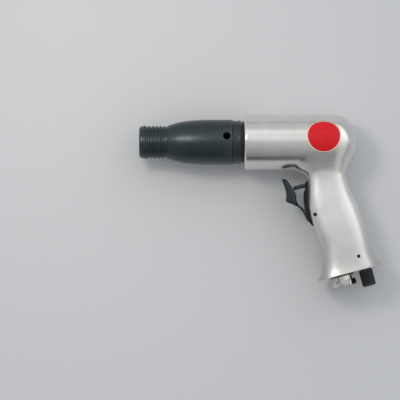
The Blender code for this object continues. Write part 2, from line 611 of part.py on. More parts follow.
def make_spring(name, start, end, radius, wire, turns):
    curve = bpy.data.curves.new(name, "CURVE")
    curve.dimensions = "3D"
    curve.bevel_depth = wire
    curve.bevel_resolution = 1
    curve.use_fill_caps = True
    steps = 10 * turns
    line = curve.splines.new("POLY")
    line.points.add(steps)
    for k, point in enumerate(line.points):
        a = math.tau * turns * k / steps
        x = start + wire + (end - start - 2 * wire) * k / steps
        point.co = (x, radius * math.sin(a), radius * math.cos(a), 1.0)
    curve.materials.append(BARE_STEEL)
    spring = bpy.data.objects.new(name, curve)
    bpy.context.scene.collection.objects.link(spring)
    spring.parent = THROTTLE
    return spring


def make_inlet():
    """The bushing that takes the air plug, its sealing washer, and the strainer that it clamps."""
    corner = HEX_FLATS / math.sqrt(3)
    joined = HEX_START + HEX_BORE_OVERLAP
    body = [(INLET_THREAD_START, 0), (INLET_THREAD_START, INLET_RADIUS), (joined, INLET_RADIUS), (joined, 0)]
    bushing = turned("inlet_bushing", body, PLATED_STEEL, INLET, MEDIUM)
    hexagon = [(HEX_START, 0), (HEX_START, corner), (INLET_END - HEX_CHAMFER, corner)]
    hexagon += [(INLET_END, corner - HEX_CHAMFER_DEPTH), (INLET_END, 0)]
    flats_up = math.radians(30)
    boolean(bushing, turned("inlet_hexagon", hexagon, None, INLET, 6, flats_up), "UNION")
    before, beyond = INLET_THREAD_START - PAST, INLET_END + PAST
    port = [(before, 0), (before, PORT_THROAT), (PORT_START - PORT_STEP, PORT_THROAT)]
    port += [(PORT_START, PORT_RADIUS), (INLET_END - PORT_EDGE, PORT_RADIUS)]
    port += [(INLET_END + PORT_EDGE, PORT_MOUTH), (beyond, PORT_MOUTH), (beyond, 0)]
    cut(bushing, turned("inlet_port", port, None, INLET, 24))
    start, inner = HANDLE_BASE + GAP, INLET_RADIUS + GAP
    end, outer = start + INLET_SEAL_THICKNESS, INLET_SEAL_RADIUS
    seal = [(start, inner), (start, outer), (end, outer), (end, inner)]
    turned("inlet_seal", seal, RUBBER, INLET, MEDIUM)
    make_screen()


def make_screen():
    """A strainer cup behind the inlet, clamped by its rim."""
    outer, under_rim = SCREEN_BORE - GAP, SCREEN_RIM - SCREEN_WALL
    cup = [(SCREEN_START, 0), (SCREEN_START, outer), (under_rim, outer)]
    cup += [(under_rim, SCREEN_RIM_RADIUS), (SCREEN_RIM, SCREEN_RIM_RADIUS)]
    cup += [(SCREEN_RIM, outer - SCREEN_WALL), (SCREEN_START + SCREEN_WALL, outer - SCREEN_WALL)]
    cup += [(SCREEN_START + SCREEN_WALL, 0)]
    screen = turned("inlet_screen", cup, BARE_STEEL, INLET, 24)
    across = (SCREEN_HOLE_DOWN, 0, SCREEN_HOLE_RADIUS, 2 * (SCREEN_BORE + PAST), None, INLET, 8)
    for number in range(SCREEN_HOLES):
        hole = cross_rod(f"screen_hole_{number + 1}", *across)
        hole.rotation_mode = "ZYX"
        hole.rotation_euler = (math.pi * number / SCREEN_HOLES, math.radians(-90), 0)
        cut(screen, hole)


def make_regulator():
    """The spool that throttles the air, the knob that turns it, and the pin that keeps it in."""
    spool = [(SPOOL_START, 0), (SPOOL_START, SPOOL_RADIUS - SPOOL_EDGE)]
    spool += [(SPOOL_START + SPOOL_EDGE, SPOOL_RADIUS)]
    neck, groove = (KEEPER_DOWN, NECK_HALF_WIDTH, SPOOL_NECK), (SPOOL_GROOVE, GROOVE_HALF_WIDTH)
    for middle, half, radius in (neck, (*groove, SPOOL_GROOVE_RADIUS)):
        spool += [(middle - half, SPOOL_RADIUS), (middle - half, radius)]
        spool += [(middle + half, radius), (middle + half, SPOOL_RADIUS)]
    spool += [(SPOOL_END, SPOOL_RADIUS), (SPOOL_END, SPOOL_TAIL)]
    spool += [(SPOOL_TAIL_END, SPOOL_TAIL), (SPOOL_TAIL_END, 0)]
    body = turned("regulator_spool", spool, BRASS, REGULATOR, 24)
    gate = rod("spool_gate", -SPOOL_RADIUS - PAST, SPOOL_RADIUS + PAST, GATE_RADIUS, None, REGULATOR)
    gate.location.x = GATE_DOWN
    gate.rotation_euler.z = math.radians(90)
    cut(body, gate)
    hole, edge = SPOOL_TAIL + GAP, KNOB_RADIUS - KNOB_EDGE
    knob = [(KNOB_START, hole), (KNOB_START, edge), (KNOB_START + KNOB_EDGE, KNOB_RADIUS)]
    knob += [(KNOB_END - KNOB_EDGE, KNOB_RADIUS), (KNOB_END, edge), (KNOB_END, 0)]
    knob += [(KNOB_HOLE_END, 0), (KNOB_HOLE_END, hole)]
    turned("regulator_knob", knob, BLACK_STEEL, REGULATOR, MEDIUM)
    o_ring("regulator_o_ring", SPOOL_GROOVE, SPOOL_SEAL_RADIUS, SPOOL_SEAL_SECTION, REGULATOR, 24)
    keeper = (KEEPER_DOWN, KEEPER_BEHIND, KEEPER_RADIUS, KEEPER_LENGTH)
    cross_rod("regulator_pin", *keeper, BARE_STEEL, HANDLE, SMALL, PIN_EDGE)


empty_scene()

ALUMINIUM = finish("satin_aluminium", (0.76, 0.75, 0.73), 0.32, 1.0)
BLACK_STEEL = finish("black_oxide_steel", (0.035, 0.038, 0.040), 0.35, 0.9)
BLACK_PAINT = finish("black_enamel", (0.020, 0.021, 0.023), 0.38, 0.0)
BLACK_PLASTIC = finish("black_plastic", (0.018, 0.018, 0.019), 0.50, 0.0)
BARE_STEEL = finish("bare_steel", (0.50, 0.50, 0.50), 0.30, 1.0)
PLATED_STEEL = finish("plated_steel", (0.62, 0.62, 0.62), 0.25, 1.0)
BRASS = finish("brass", (0.72, 0.56, 0.28), 0.30, 1.0)
RUBBER = finish("nitrile_rubber", (0.015, 0.015, 0.016), 0.70, 0.0)
RED_ENAMEL = finish("red_enamel", (0.55, 0.016, 0.025), 0.30, 0.0)

TOOL = axis_frame("tool_axis", place=MUZZLE)
HANDLE = axis_frame("handle_axis", TOOL, (HANDLE_X, 0, 0), HANDLE_LEAN - math.pi / 2)
THROTTLE = axis_frame("throttle_axis", HANDLE, (THROTTLE_DOWN, 0, 0), math.pi / 2)
INLET = axis_frame("inlet_axis", HANDLE, (0, -INLET_FRONT, 0))
REGULATOR = axis_frame("regulator_axis", HANDLE, (0, REGULATOR_BEHIND, 0))
PIVOT = axis_frame("trigger_pivot", HANDLE, (PIVOT_DOWN, -PIVOT_FRONT, 0))

make_housing()
make_barrel()
make_ring()
o_ring("barrel_o_ring", SEAL_X, SHANK_RADIUS + GAP + SEAL_SECTION, SEAL_SECTION, TOOL, LARGE)
make_piston()
make_valve()
curved_disc("badge", BADGE_RADIUS, BADGE_FLOOR, BADGE_TOP, RED_ENAMEL, TOOL)
make_trigger()
make_throttle()
make_inlet()
make_regulator()
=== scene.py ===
"""Looks of the pneumatic air hammer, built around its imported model.

Most pieces are made in one of three local frames: the tool's, with +X along the tool axis from the
muzzle; the handle's, with +X down its axis; or the trigger's, about its pivot. Lengths are in metres.
"""

import math

import bmesh
import bpy
import numpy as np
from mathutils import Matrix, Vector
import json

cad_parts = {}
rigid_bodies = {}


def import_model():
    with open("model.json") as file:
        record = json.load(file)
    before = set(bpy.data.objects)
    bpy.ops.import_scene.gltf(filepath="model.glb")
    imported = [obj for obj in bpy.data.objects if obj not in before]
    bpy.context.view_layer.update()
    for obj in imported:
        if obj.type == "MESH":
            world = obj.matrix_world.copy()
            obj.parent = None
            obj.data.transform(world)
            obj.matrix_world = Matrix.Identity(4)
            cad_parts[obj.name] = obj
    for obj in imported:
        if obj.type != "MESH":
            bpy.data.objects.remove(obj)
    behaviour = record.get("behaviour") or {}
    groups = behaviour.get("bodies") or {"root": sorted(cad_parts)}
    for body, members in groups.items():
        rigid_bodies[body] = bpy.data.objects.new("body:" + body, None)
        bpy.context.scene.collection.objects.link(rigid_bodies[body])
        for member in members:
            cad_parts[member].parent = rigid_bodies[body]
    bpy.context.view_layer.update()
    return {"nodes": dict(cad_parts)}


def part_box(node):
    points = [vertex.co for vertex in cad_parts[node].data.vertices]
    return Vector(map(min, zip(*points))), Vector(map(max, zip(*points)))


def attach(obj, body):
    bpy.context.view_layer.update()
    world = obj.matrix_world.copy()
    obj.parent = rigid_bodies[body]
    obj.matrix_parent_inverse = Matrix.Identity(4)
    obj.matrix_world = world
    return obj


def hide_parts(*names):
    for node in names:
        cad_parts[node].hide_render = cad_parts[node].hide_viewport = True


MM = 0.001
GAP = 0.3 * MM

# Housing, along the tool axis from the muzzle.
HOUSING_RADIUS, HOUSING_FRONT = 0.0242, 0.0921
DOME_START, HOUSING_REAR, DOME_POWER = 0.170, 0.1917, 2.1
FRONT_ROUND, BASE_ROUND, FILLET = 0.0022, 0.0007, 0.0062
HANDLE_X, HANDLE_LEAN, HANDLE_BASE = 0.152, math.radians(15.2), 0.1191
HANDLE_TOP, HANDLE_TOP_ROUND = -0.004, 0.002
HOUSING_REACH = (0.2145, 0.127)  # no part of the housing is further along the tool, or further to its side
BORE_RADIUS, BORE_END, BORE_LEAD = 0.0169, 0.1442, 0.0008
CHAMBER_RADIUS, CHAMBER_END, CHAMBER_TIP = 0.0130, 0.158, (0.163, 0.004)
# How square the back and the front of a section are, along and across it: 2 and 2 make an ellipse.
SECTION_POWERS, FRONT_POWERS = (3.2, 2.05), (3.4, 3.0)
# Distance down the handle, how far its front and its back stand from the axis, and half the width.
HANDLE_STATIONS = (
    (0.0080, 0.0160, 0.0250, 0.0160),
    (0.0205, 0.0165, 0.0255, 0.0160),
    (0.0265, 0.0128, 0.0240, 0.0154),
    (0.0340, 0.0136, 0.0216, 0.0151),
    (0.0480, 0.0172, 0.0218, 0.0155),
    (0.0640, 0.0187, 0.0243, 0.0162),
    (0.0800, 0.0178, 0.0258, 0.0170),
    (0.0930, 0.0168, 0.0261, 0.0177),
    (0.1050, 0.0187, 0.0259, 0.0185),
    (0.1125, 0.0216, 0.0274, 0.0194),
    (0.1170, 0.0252, 0.0297, 0.0204),
    (0.1184, 0.0272, 0.0315, 0.0209),
    (0.1191, 0.0272, 0.0315, 0.0209),
)

# Trigger: positions down the handle axis and in front of it.
PIVOT_DOWN, PIVOT_FRONT, PIN_RADIUS, PIN_HALF = 0.0618, 0.0145, 0.0014, 0.00825
PAD_OUTLINE = (
    (0.0247, 0.0346),
    (0.0306, 0.0338),
    (0.0358, 0.0336),
    (0.0395, 0.0342),
    (0.0434, 0.0359),
    (0.0452, 0.0354),
    (0.0495, 0.0292),
    (0.0495, 0.0272),
    (0.0454, 0.0266),
    (0.0402, 0.0256),
    (0.0333, 0.0274),
    (0.0258, 0.0304),
    (0.0244, 0.0325),
)
ARM_OUTLINE = (
    (0.0445, 0.0285),
    (0.0490, 0.0295),
    (0.0525, 0.0262),
    (0.0561, 0.0243),
    (0.0618, 0.0229),
    (0.0618, 0.0145),
    (0.0575, 0.0205),
    (0.0552, 0.0222),
    (0.0525, 0.0239),
    (0.0490, 0.0266),
    (0.0470, 0.0275),
)
BOSS_RADIUS, ARM_HALF_WIDTH, PAD_HALF_WIDTH, PAD_ROUND = 0.0084, 0.0034, 0.0065, 0.0028
GUIDE_HALF_WIDTH, GUIDE_INSET, GUIDE_CLEARED = 0.0055, 0.0022, 0.010
# Distance down the handle, and how far the guide stands out of it there.
GUIDE_PROUD = (
    (0.0315, 0.0017),
    (0.0385, 0.0019),
    (0.0400, 0.0034),
    (0.0480, 0.0036),
    (0.0560, 0.0034),
    (0.0640, 0.0024),
    (0.0712, 0.0010),
)
SLOT_START, SLOT_END, SLOT_FLOOR, SLOT_MOUTH, SLOT_HALF_WIDTH = 0.0527, 0.0708, 0.0055, 0.035, 0.0038
THROTTLE_DOWN, THROTTLE_BORE, THROTTLE_BORE_START, THROTTLE_BORE_END = 0.0350, 0.0055, -0.030, 0.0160
STEM_TIP, STEM_END, STEM_RADIUS, STEM_TIP_RADIUS = -0.0265, -0.0020, 0.00175, 0.0010
STEM_HOLE = 0.00215

# Barrel, along the tool axis.
MUZZLE_RADIUS = 0.0139
MUZZLE_FACE = ((0.0, 0.0072), (0.0, 0.0122), (0.0002, 0.0126), (0.0010, 0.0137), (0.0014, MUZZLE_RADIUS))
SOCKET_RADIUS, SOCKET_END, PISTON_BORE, PISTON_BORE_START = 0.00515, 0.0262, 0.0095, 0.0285
SOCKET_MOUTH = ((0.0022, SOCKET_RADIUS), (0.0004, 0.0068))
THREAD_START, THREAD_PITCH, THREAD_TURNS = 0.0047, 0.0033, 5.25
THREAD_RADIUS, THREAD_DEPTH = 0.0145, 0.0010
# Where the thread's crest rises from the muzzle and falls to the neck, and the step between its rings.
THREAD_RISE, THREAD_FALL, THREAD_STEP = 0.0030, 0.0216, 0.00022
NECK_RADIUS, NECK_END = 0.0136, 0.0250
BULB_RADIUS, BULB_FULL, BULB_END, OGIVE_POWER = 0.01975, 0.0710, 0.0816, 3.4
SHANK_RADIUS, BARREL_REAR = 0.0165, 0.1221
EXHAUST_X, EXHAUST_RADIUS, EXHAUST_ANGLE = 0.0769, 0.0030, math.radians(16)
EXHAUST_START, EXHAUST_LENGTH, EXHAUST_FLARE = 0.006, 0.0124, 0.0145
RING_START, RING_END, RING_RADIUS, RING_CROWN = 0.0819, 0.0896, 0.0189, 0.0004
SEAL_X, SEAL_SECTION = 0.0910, 0.0008

BADGE_X, BADGE_RADIUS, BADGE_ANGLE = 0.1615, 0.0150, math.radians(13.5)
BADGE_FLOOR, BADGE_TOP, BADGE_POCKET_TOP = 0.0237, 0.02433, 0.0255
BADGE_CROWN, BADGE_RIM = 0.25 * MM, 0.80 * MM  # how far its edge drops, and the width of the pale rim

# Under the handle.
INLET_FRONT, HEX_FLATS, HEX_START, INLET_END = 0.0050, 0.019, 0.1245, 0.1298
INLET_START, INLET_RADIUS, INLET_THROAT = 0.1021, 0.0084, 0.0045
INLET_THREAD_START, INLET_THREAD_RADIUS, INLET_THREAD_DEPTH, INLET_PITCH = 0.1120, 0.0063, 0.0007, 0.00141
INLET_MOUTH_DEPTH, INLET_MOUTH_RADII, INLET_THROAT_START = 0.0015, (0.0057, 0.0069), 0.100
WASHER_RADIUS, WASHER_THICKNESS = 0.0106, 0.0012
REGULATOR_BEHIND, KNOB_RADIUS, KNOB_START, KNOB_END = 0.0158, 0.0060, 0.1200, 0.1352
KNOB_BORE, KNURLS, KNURL_SLOPE, KNURL_DEPTH = 0.0028, 36, 1.15, 0.00030
KEEPER_DOWN, KEEPER_BEHIND, KEEPER_RADIUS, KEEPER_HALF = 0.1069, 0.0125, 0.00125, 0.01025
# Half sections of the holes in the handle's foot, by distance down the handle: the air inlet's, with the
# smaller one of its screen beyond it, and the spool's.
INLET_HOLE = (
    (0.0940, 0),
    (0.0940, 0.0060),
    (0.1010, 0.0060),
    (0.1010, 0.0087),
    (0.1188, 0.0087),
    (0.1205, 0.0104),
    (0.1205, 0),
)
SPOOL_HOLE = ((0.0930, 0), (0.0930, 0.0049), (0.1187, 0.0049), (0.1205, 0.0067), (0.1205, 0))

# Light by degrees from straight up, the two ends first. Across the tool there is a dark strip low on the
# handle's side, an even climb past the middle and two soft panels on the other side.
SKY_ACROSS = (
    (-90, 0.2),
    (90, 0.5),
    (-72, 0.05),
    (-58, 0.25),
    (0, 0.55),
    (18, 0.9),
    (28, 0.8),
    (44, 1.0),
    (58, 0.6),
)
SKY_SIDES = ((-90, 0.35), (90, 0.5), (-30, 0.45), (0, 0.6), (44, 1.0), (63, 0.9))
SKY_ALONG = ((-90, 1.0), (90, 0.7), (0, 1.0), (35, 1.35), (60, 1.5), (75, 1.2))
SKY_PEAK, SKY_LOW = 2.5, 0.45  # the most that a ramp holds, and the light near the skyline
NOSE_LIGHT_SIZE, NOSE_LIGHT_POWER, NOSE_LIGHT_COLOUR = 0.13, 0.62, (1, 0.94, 0.88)
NOSE_LIGHT_AIM, NOSE_LIGHT_AWAY = Vector((0.045, 0, 0.012)), Vector((-0.15, 0.16, 0.42))

# The camera's height over the tool, the width it sees, and where its middle is from the muzzle.
CAMERA_HEIGHT, CAMERA_VIEW, CAMERA_SIDE, CAMERA_DOWN = 2.6, 0.352, 0.0534, 0.0508

# The housing is made too long by TRIM at its two open ends, then cut back by cutters of this depth that
# pass its outside by this much. The one at the foot starts inside the outline by this inset.
TRIM, TRIM_DEPTH, TRIM_PAST, TRIM_INSET = 0.0015, 0.004, 0.001, 0.004
SHARP = math.radians(38)
CORNERS = [(i, j, k) for i in (0, 1) for j in (0, 1) for k in (0, 1)]


# ---------------------------------------------------------------- surfaces from distance fields


def contour(field, low, high, step, relax=3):
    """The closed surface field = 0 inside a box: points, one for each grid cell it crosses, and quads."""
    low = np.array(low, float) - 2 * step
    counts = np.ceil((np.array(high, float) + 2 * step - low) / step).astype(int) + 2
    axes = [low[k] + step * np.arange(counts[k]) for k in range(3)]
    grid = np.meshgrid(*axes, indexing="ij", sparse=True)
    values = np.broadcast_to(field(*grid), counts)
    inside = values < 0
    cells = counts - 1
    windows = [tuple(slice(c, c + n) for c, n in zip(corner, cells)) for corner in CORNERS]
    filled = sum(inside[window].astype(np.int8) for window in windows)
    crossed_cells = (filled > 0) & (filled < 8)
    number = np.full(cells, -1)
    number[crossed_cells] = np.arange(np.count_nonzero(crossed_cells))
    at = np.argwhere(crossed_cells)
    total, hits = np.zeros((len(at), 3)), np.zeros(len(at))
    for corner in CORNERS:
        start = values[tuple((at + corner).T)]
        for axis in range(3):
            if corner[axis]:
                continue
            along = np.eye(3, dtype=int)[axis]
            end = values[tuple((at + corner + along).T)]
            crossed = (start < 0) != (end < 0)
            share = start[crossed] / (start[crossed] - end[crossed])
            total[crossed] += np.array(corner) + share[:, None] * along
            hits[crossed] += 1
    points = low + step * (at + total / hits[:, None])
    faces = np.concatenate([crossing_quads(inside, number, axis) for axis in range(3)])
    points = settle(field, points, step, 2)
    for _ in range(relax):
        points = settle(field, neighbour_mean(points, faces), step, 1)
    return settle(field, points, step, 2), faces


def crossing_quads(inside, number, axis):
    """A quad around each grid edge along an axis that the surface crosses, facing out."""
    here = inside[tuple(slice(0, -1) if k == axis else slice(None) for k in range(3))]
    there = inside[tuple(slice(1, None) if k == axis else slice(None) for k in range(3))]
    edges = np.argwhere(here != there)
    leaving = here[tuple(edges.T)]
    b, c = [k for k in range(3) if k != axis]
    corners = []
    for db, dc in ((0, 0), (-1, 0), (-1, -1), (0, -1)):
        cell = edges.copy()
        cell[:, b] += db
        cell[:, c] += dc
        corners.append(number[tuple(cell.T)])
    quads = np.stack(corners, 1)
    backwards = leaving if axis == 1 else ~leaving
    quads[backwards] = quads[backwards][:, ::-1]
    return quads


def settle(field, points, step, rounds):
    """Moves points straight onto the surface."""
    reach = 0.04 * step
    for _ in range(rounds):
        value = field(*points.T)
        slope = [(field(*(points + d).T) - field(*(points - d).T)) / (2 * reach) for d in np.eye(3) * reach]
        slope = np.stack(slope, 1)
        move = slope * (value / np.maximum((slope**2).sum(1), 1e-6))[:, None]
        far = np.linalg.norm(move, axis=1)
        points = points - move * np.minimum(1, 0.5 * step / np.maximum(far, 1e-12))[:, None]
    return points


def neighbour_mean(points, faces):
    total, count = np.zeros_like(points), np.zeros(len(points))
    for k in range(4):
        for other in (1, 3):
            near = faces[:, (k + other) % 4]
            count += np.bincount(faces[:, k], minlength=len(points))
            for axis in range(3):
                total[:, axis] += np.bincount(faces[:, k], points[near, axis], len(points))
    return total / count[:, None]


def round_union(a, b, r):
    corner = np.hypot(np.maximum(r - a, 0), np.maximum(r - b, 0))
    return np.maximum(r, np.minimum(a, b)) - corner


def round_meet(a, b, r):
    """What two solids share, with the edge between their surfaces rounded."""
    corner = np.hypot(np.maximum(r + a, 0), np.maximum(r + b, 0))
    return np.minimum(-r, np.maximum(a, b)) + corner


def outline_distance(outline, x, y):
    """Distance from a closed outline, negative inside it."""
    shape = np.broadcast(x, y).shape
    nearest, inside = np.full(shape, np.inf), np.zeros(shape, bool)
    for (ax, ay), (bx, by) in zip(outline, outline[1:] + outline[:1]):
        ex, ey = bx - ax, by - ay
        share = np.clip(((x - ax) * ex + (y - ay) * ey) / (ex * ex + ey * ey), 0, 1)
        nearest = np.minimum(nearest, (x - ax - share * ex) ** 2 + (y - ay - share * ey) ** 2)
        if ay != by:
            inside ^= ((ay > y) != (by > y)) & (x < ex * (y - ay) / ey + ax)
    return np.sqrt(nearest) * np.where(inside, -1, 1)


def softened(outline, rounds=3):
    """The outline with its corners cut again and again, so that it becomes a smooth curve."""
    for _ in range(rounds):
        cut = []
        for (ax, ay), (bx, by) in zip(outline, outline[1:] + outline[:1]):
            cut += [(0.8 * ax + 0.2 * bx, 0.8 * ay + 0.2 * by), (0.2 * ax + 0.8 * bx, 0.2 * ay + 0.8 * by)]
        outline = cut
    return outline


# ---------------------------------------------------------------- pieces


def new_piece(name, mesh, body, node_name, place, look):
    """A piece in its frame, riding on a body in place of the CAD node that it shows."""
    mesh.name = name
    mesh.shade_smooth()
    mesh.set_sharp_from_angle(angle=SHARP)
    piece = bpy.data.objects.new(name, mesh)
    bpy.context.scene.collection.objects.link(piece)
    piece.matrix_world = place
    piece.data.materials.clear()
    piece.data.materials.append(look)
    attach(piece, body)
    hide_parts(node_name)


def mesh_from(points, faces):
    mesh = bpy.data.meshes.new("made")
    mesh.from_pydata([tuple(p) for p in points], [], [tuple(int(v) for v in f) for f in faces])
    mesh.validate()
    return mesh


def turned(profile, sides=128, phase=0.0):
    """A solid of revolution about +X, from the closed outline of its half section as (x, radius)."""
    bm = bmesh.new()
    rings = []
    for x, radius in profile:
        count = sides if radius > 0 else 1
        angles = [phase + math.tau * k / sides for k in range(count)]
        rings.append([bm.verts.new((x, radius * math.sin(a), radius * math.cos(a))) for a in angles])
    for ring, following in zip(rings, rings[1:] + rings[:1]):
        span(bm, ring, following)
    bmesh.ops.recalc_face_normals(bm, faces=bm.faces)
    mesh = bpy.data.meshes.new("turned")
    bm.to_mesh(mesh)
    bm.free()
    return mesh


def span(bm, ring, following):
    """Faces between two rings of vertices. Either may be a single vertex."""
    sides = max(len(ring), len(following))
    if sides == 1:
        return
    for k in range(sides):
        after = (k + 1) % sides
        corners = [ring[k % len(ring)], ring[after % len(ring)]]
        corners += [following[after % len(following)], following[k % len(following)]]
        bm.faces.new(list(dict.fromkeys(corners)))


def rod(start, end, radius, sides=48):
    return turned(rod_profile(start, end, radius), sides)


def rod_profile(start, end, radius):
    return [(start, 0), (start, radius), (end, radius), (end, 0)]


def combined(mesh, changes):
    """A mesh with others cut from it or joined to it: (operation, mesh, matrix in the mesh's own frame)."""
    scene = bpy.context.scene.collection.objects
    body = bpy.data.objects.new("body", mesh)
    scene.link(body)
    helpers = []
    for operation, other, matrix in changes:
        helper = bpy.data.objects.new("helper", other)
        helper.matrix_world = matrix or Matrix.Identity(4)
        scene.link(helper)
        helpers.append(helper)
        change = body.modifiers.new("change", "BOOLEAN")
        change.operation, change.object, change.solver = operation, helper, "EXACT"
    bpy.context.view_layer.update()
    made = bpy.data.meshes.new_from_object(body.evaluated_get(bpy.context.evaluated_depsgraph_get()))
    for thing in [body, *helpers]:
        bpy.data.objects.remove(thing)
    return made


def eased(stations, at):
    """A smooth curve through the stations' columns, read at a distance down the first column."""
    last = len(stations) - 1
    i = max(k for k in range(last) if stations[k][0] <= at or k == 0)
    low, high = stations[i], stations[i + 1]
    before, after = stations[max(i - 1, 0)], stations[min(i + 2, last)]
    width = high[0] - low[0]
    u = (at - low[0]) / width
    values = []
    for c in range(1, len(low)):
        leaving = (high[c] - before[c]) / (high[0] - before[0]) * width
        arriving = (after[c] - low[c]) / (after[0] - low[0]) * width
        value = (2 * u**3 - 3 * u**2 + 1) * low[c] + (u**3 - 2 * u**2 + u) * leaving
        values.append(value + (3 * u**2 - 2 * u**3) * high[c] + (u**3 - u**2) * arriving)
    return values


STEPS = np.linspace(HANDLE_STATIONS[0][0], HANDLE_STATIONS[-1][0], 500)
FRONTS, BACKS, HALVES = np.array([eased(HANDLE_STATIONS, at) for at in STEPS]).T


def housing_field(x, y, z):
    """Distance from the outside of the housing: the cylinder and its dome, filleted into the grip."""
    beyond = np.maximum(x - DOME_START, 0) / (HOUSING_REAR - DOME_START)
    out = np.hypot(y, z) / HOUSING_RADIUS
    barrel = ((beyond**DOME_POWER + out**DOME_POWER) ** (1 / DOME_POWER) - 1) * HOUSING_RADIUS
    lean = HANDLE_LEAN - math.pi / 2
    down = (x - HANDLE_X) * math.cos(lean) + y * math.sin(lean)
    behind = y * math.cos(lean) - (x - HANDLE_X) * math.sin(lean)
    middle, depth, half = handle_section(down)
    grip = np.hypot(behind - middle, z) * (1 - section_scale((behind - middle) / depth, z / half))
    grip = round_meet(grip, HANDLE_TOP - down, HANDLE_TOP_ROUND)
    whole = round_union(barrel, grip, FILLET)
    return np.maximum(whole, np.maximum(HOUSING_FRONT - TRIM - x, down - HANDLE_BASE - TRIM))


def handle_section(down):
    front, back, half = (np.interp(down, STEPS, column) for column in (FRONTS, BACKS, HALVES))
    return (back - front) / 2, (back + front) / 2, half


def section_scale(along, across):
    """How much a point of the unit section has to be scaled, from its middle, to lie on the outline."""
    in_front = np.asarray(along) < 0
    p, q = (np.where(in_front, *powers) for powers in zip(FRONT_POWERS, SECTION_POWERS))
    first = np.maximum(np.abs(along), 1e-4) ** p
    second = np.maximum(np.abs(across), 1e-4) ** q
    log = np.minimum(-np.log(first) / p, -np.log(second) / q)
    for _ in range(5):
        a, b = first * np.exp(p * log), second * np.exp(q * log)
        log = log - (a + b - 1) / (p * a + q * b)
    return np.exp(log)


def handle_front(down):
    return eased(HANDLE_STATIONS, down)[0]


def guide_outline(gap):
    downs = [down for down, _ in GUIDE_PROUD]
    downs[0] -= gap
    downs[-1] += gap
    prouds = [GUIDE_CLEARED if gap else proud for _, proud in GUIDE_PROUD]
    outer = [(down, -(handle_front(down) + proud)) for down, proud in zip(downs, prouds)]
    return outer + [(down, -(handle_front(down) - GUIDE_INSET - gap)) for down in reversed(downs)]


def extruded(outline, half_width):
    """A prism across the tool, from an outline in a frame's XY plane."""
    bm = bmesh.new()
    layers = [[bm.verts.new((x, y, z)) for x, y in outline] for z in (-half_width, half_width)]
    span(bm, *layers)
    for layer in layers:
        bm.faces.new(layer)
    bmesh.ops.recalc_face_normals(bm, faces=bm.faces)
    mesh = bpy.data.meshes.new("extruded")
    bm.to_mesh(mesh)
    bm.free()
    return mesh


def upright(down, behind, mesh_matrix):
    """A turned piece stood along Z at a point of a frame's XY plane."""
    return mesh_matrix @ Matrix.Translation((down, behind, 0)) @ Matrix.Rotation(math.radians(-90), 4, "Y")


def pin_hole(radius, down, behind):
    """A cutter for a hole right through the handle."""
    return rod(-HOUSING_RADIUS, HOUSING_RADIUS, radius, 40), upright(down, behind, HANDLE_IN_TOOL)


def front_trim():
    """A cutter that squares the housing's front and rounds its edge."""
    steps, last = 10, math.radians(80)
    profile = [(HOUSING_FRONT - TRIM_DEPTH, 0), (HOUSING_FRONT, 0)]
    for k in range(steps + 1):
        t = last * k / steps
        out = HOUSING_RADIUS - FRONT_ROUND * (1 - math.sin(t))
        profile.append((HOUSING_FRONT + FRONT_ROUND * (1 - math.cos(t)), out))
    x, out = profile[-1]
    profile.append((x + TRIM_PAST * math.tan(last), out + TRIM_PAST))
    profile.append((HOUSING_FRONT - TRIM_DEPTH, out + TRIM_PAST))
    return turned(profile, 192)


def base_trim():
    """A cutter that squares the foot of the handle and rounds its rim."""
    sides, steps, last = 160, 6, math.radians(72)
    middle, depth, half = handle_section(HANDLE_BASE)
    angles = np.arange(sides) / sides * math.tau
    reach = section_scale(np.cos(angles), np.sin(angles))
    outline = np.stack([depth * reach * np.cos(angles), half * reach * np.sin(angles)], 1)
    along = np.roll(outline, -1, 0) - np.roll(outline, 1, 0)
    normals = np.stack([along[:, 1], -along[:, 0]], 1) / np.linalg.norm(along, axis=1)[:, None]
    rings = [(HANDLE_BASE, TRIM_INSET)]
    for k in range(steps + 1):
        t = last * k / steps
        rings.append((HANDLE_BASE - BASE_ROUND * (1 - math.cos(t)), BASE_ROUND * (1 - math.sin(t))))
    down, inset = rings[-1]
    rings.append((down - TRIM_PAST * math.tan(last), inset - TRIM_PAST))
    rings.append((HANDLE_BASE + TRIM_DEPTH, inset - TRIM_PAST))
    points = []
    for down, inset in rings:
        for across, z in outline - inset * normals:
            points.append((down, middle + across, z))
    faces = [tuple(range(sides)), tuple(range(len(points) - sides, len(points)))]
    return outward(mesh_from(points, faces + ring_faces(len(rings), sides)))


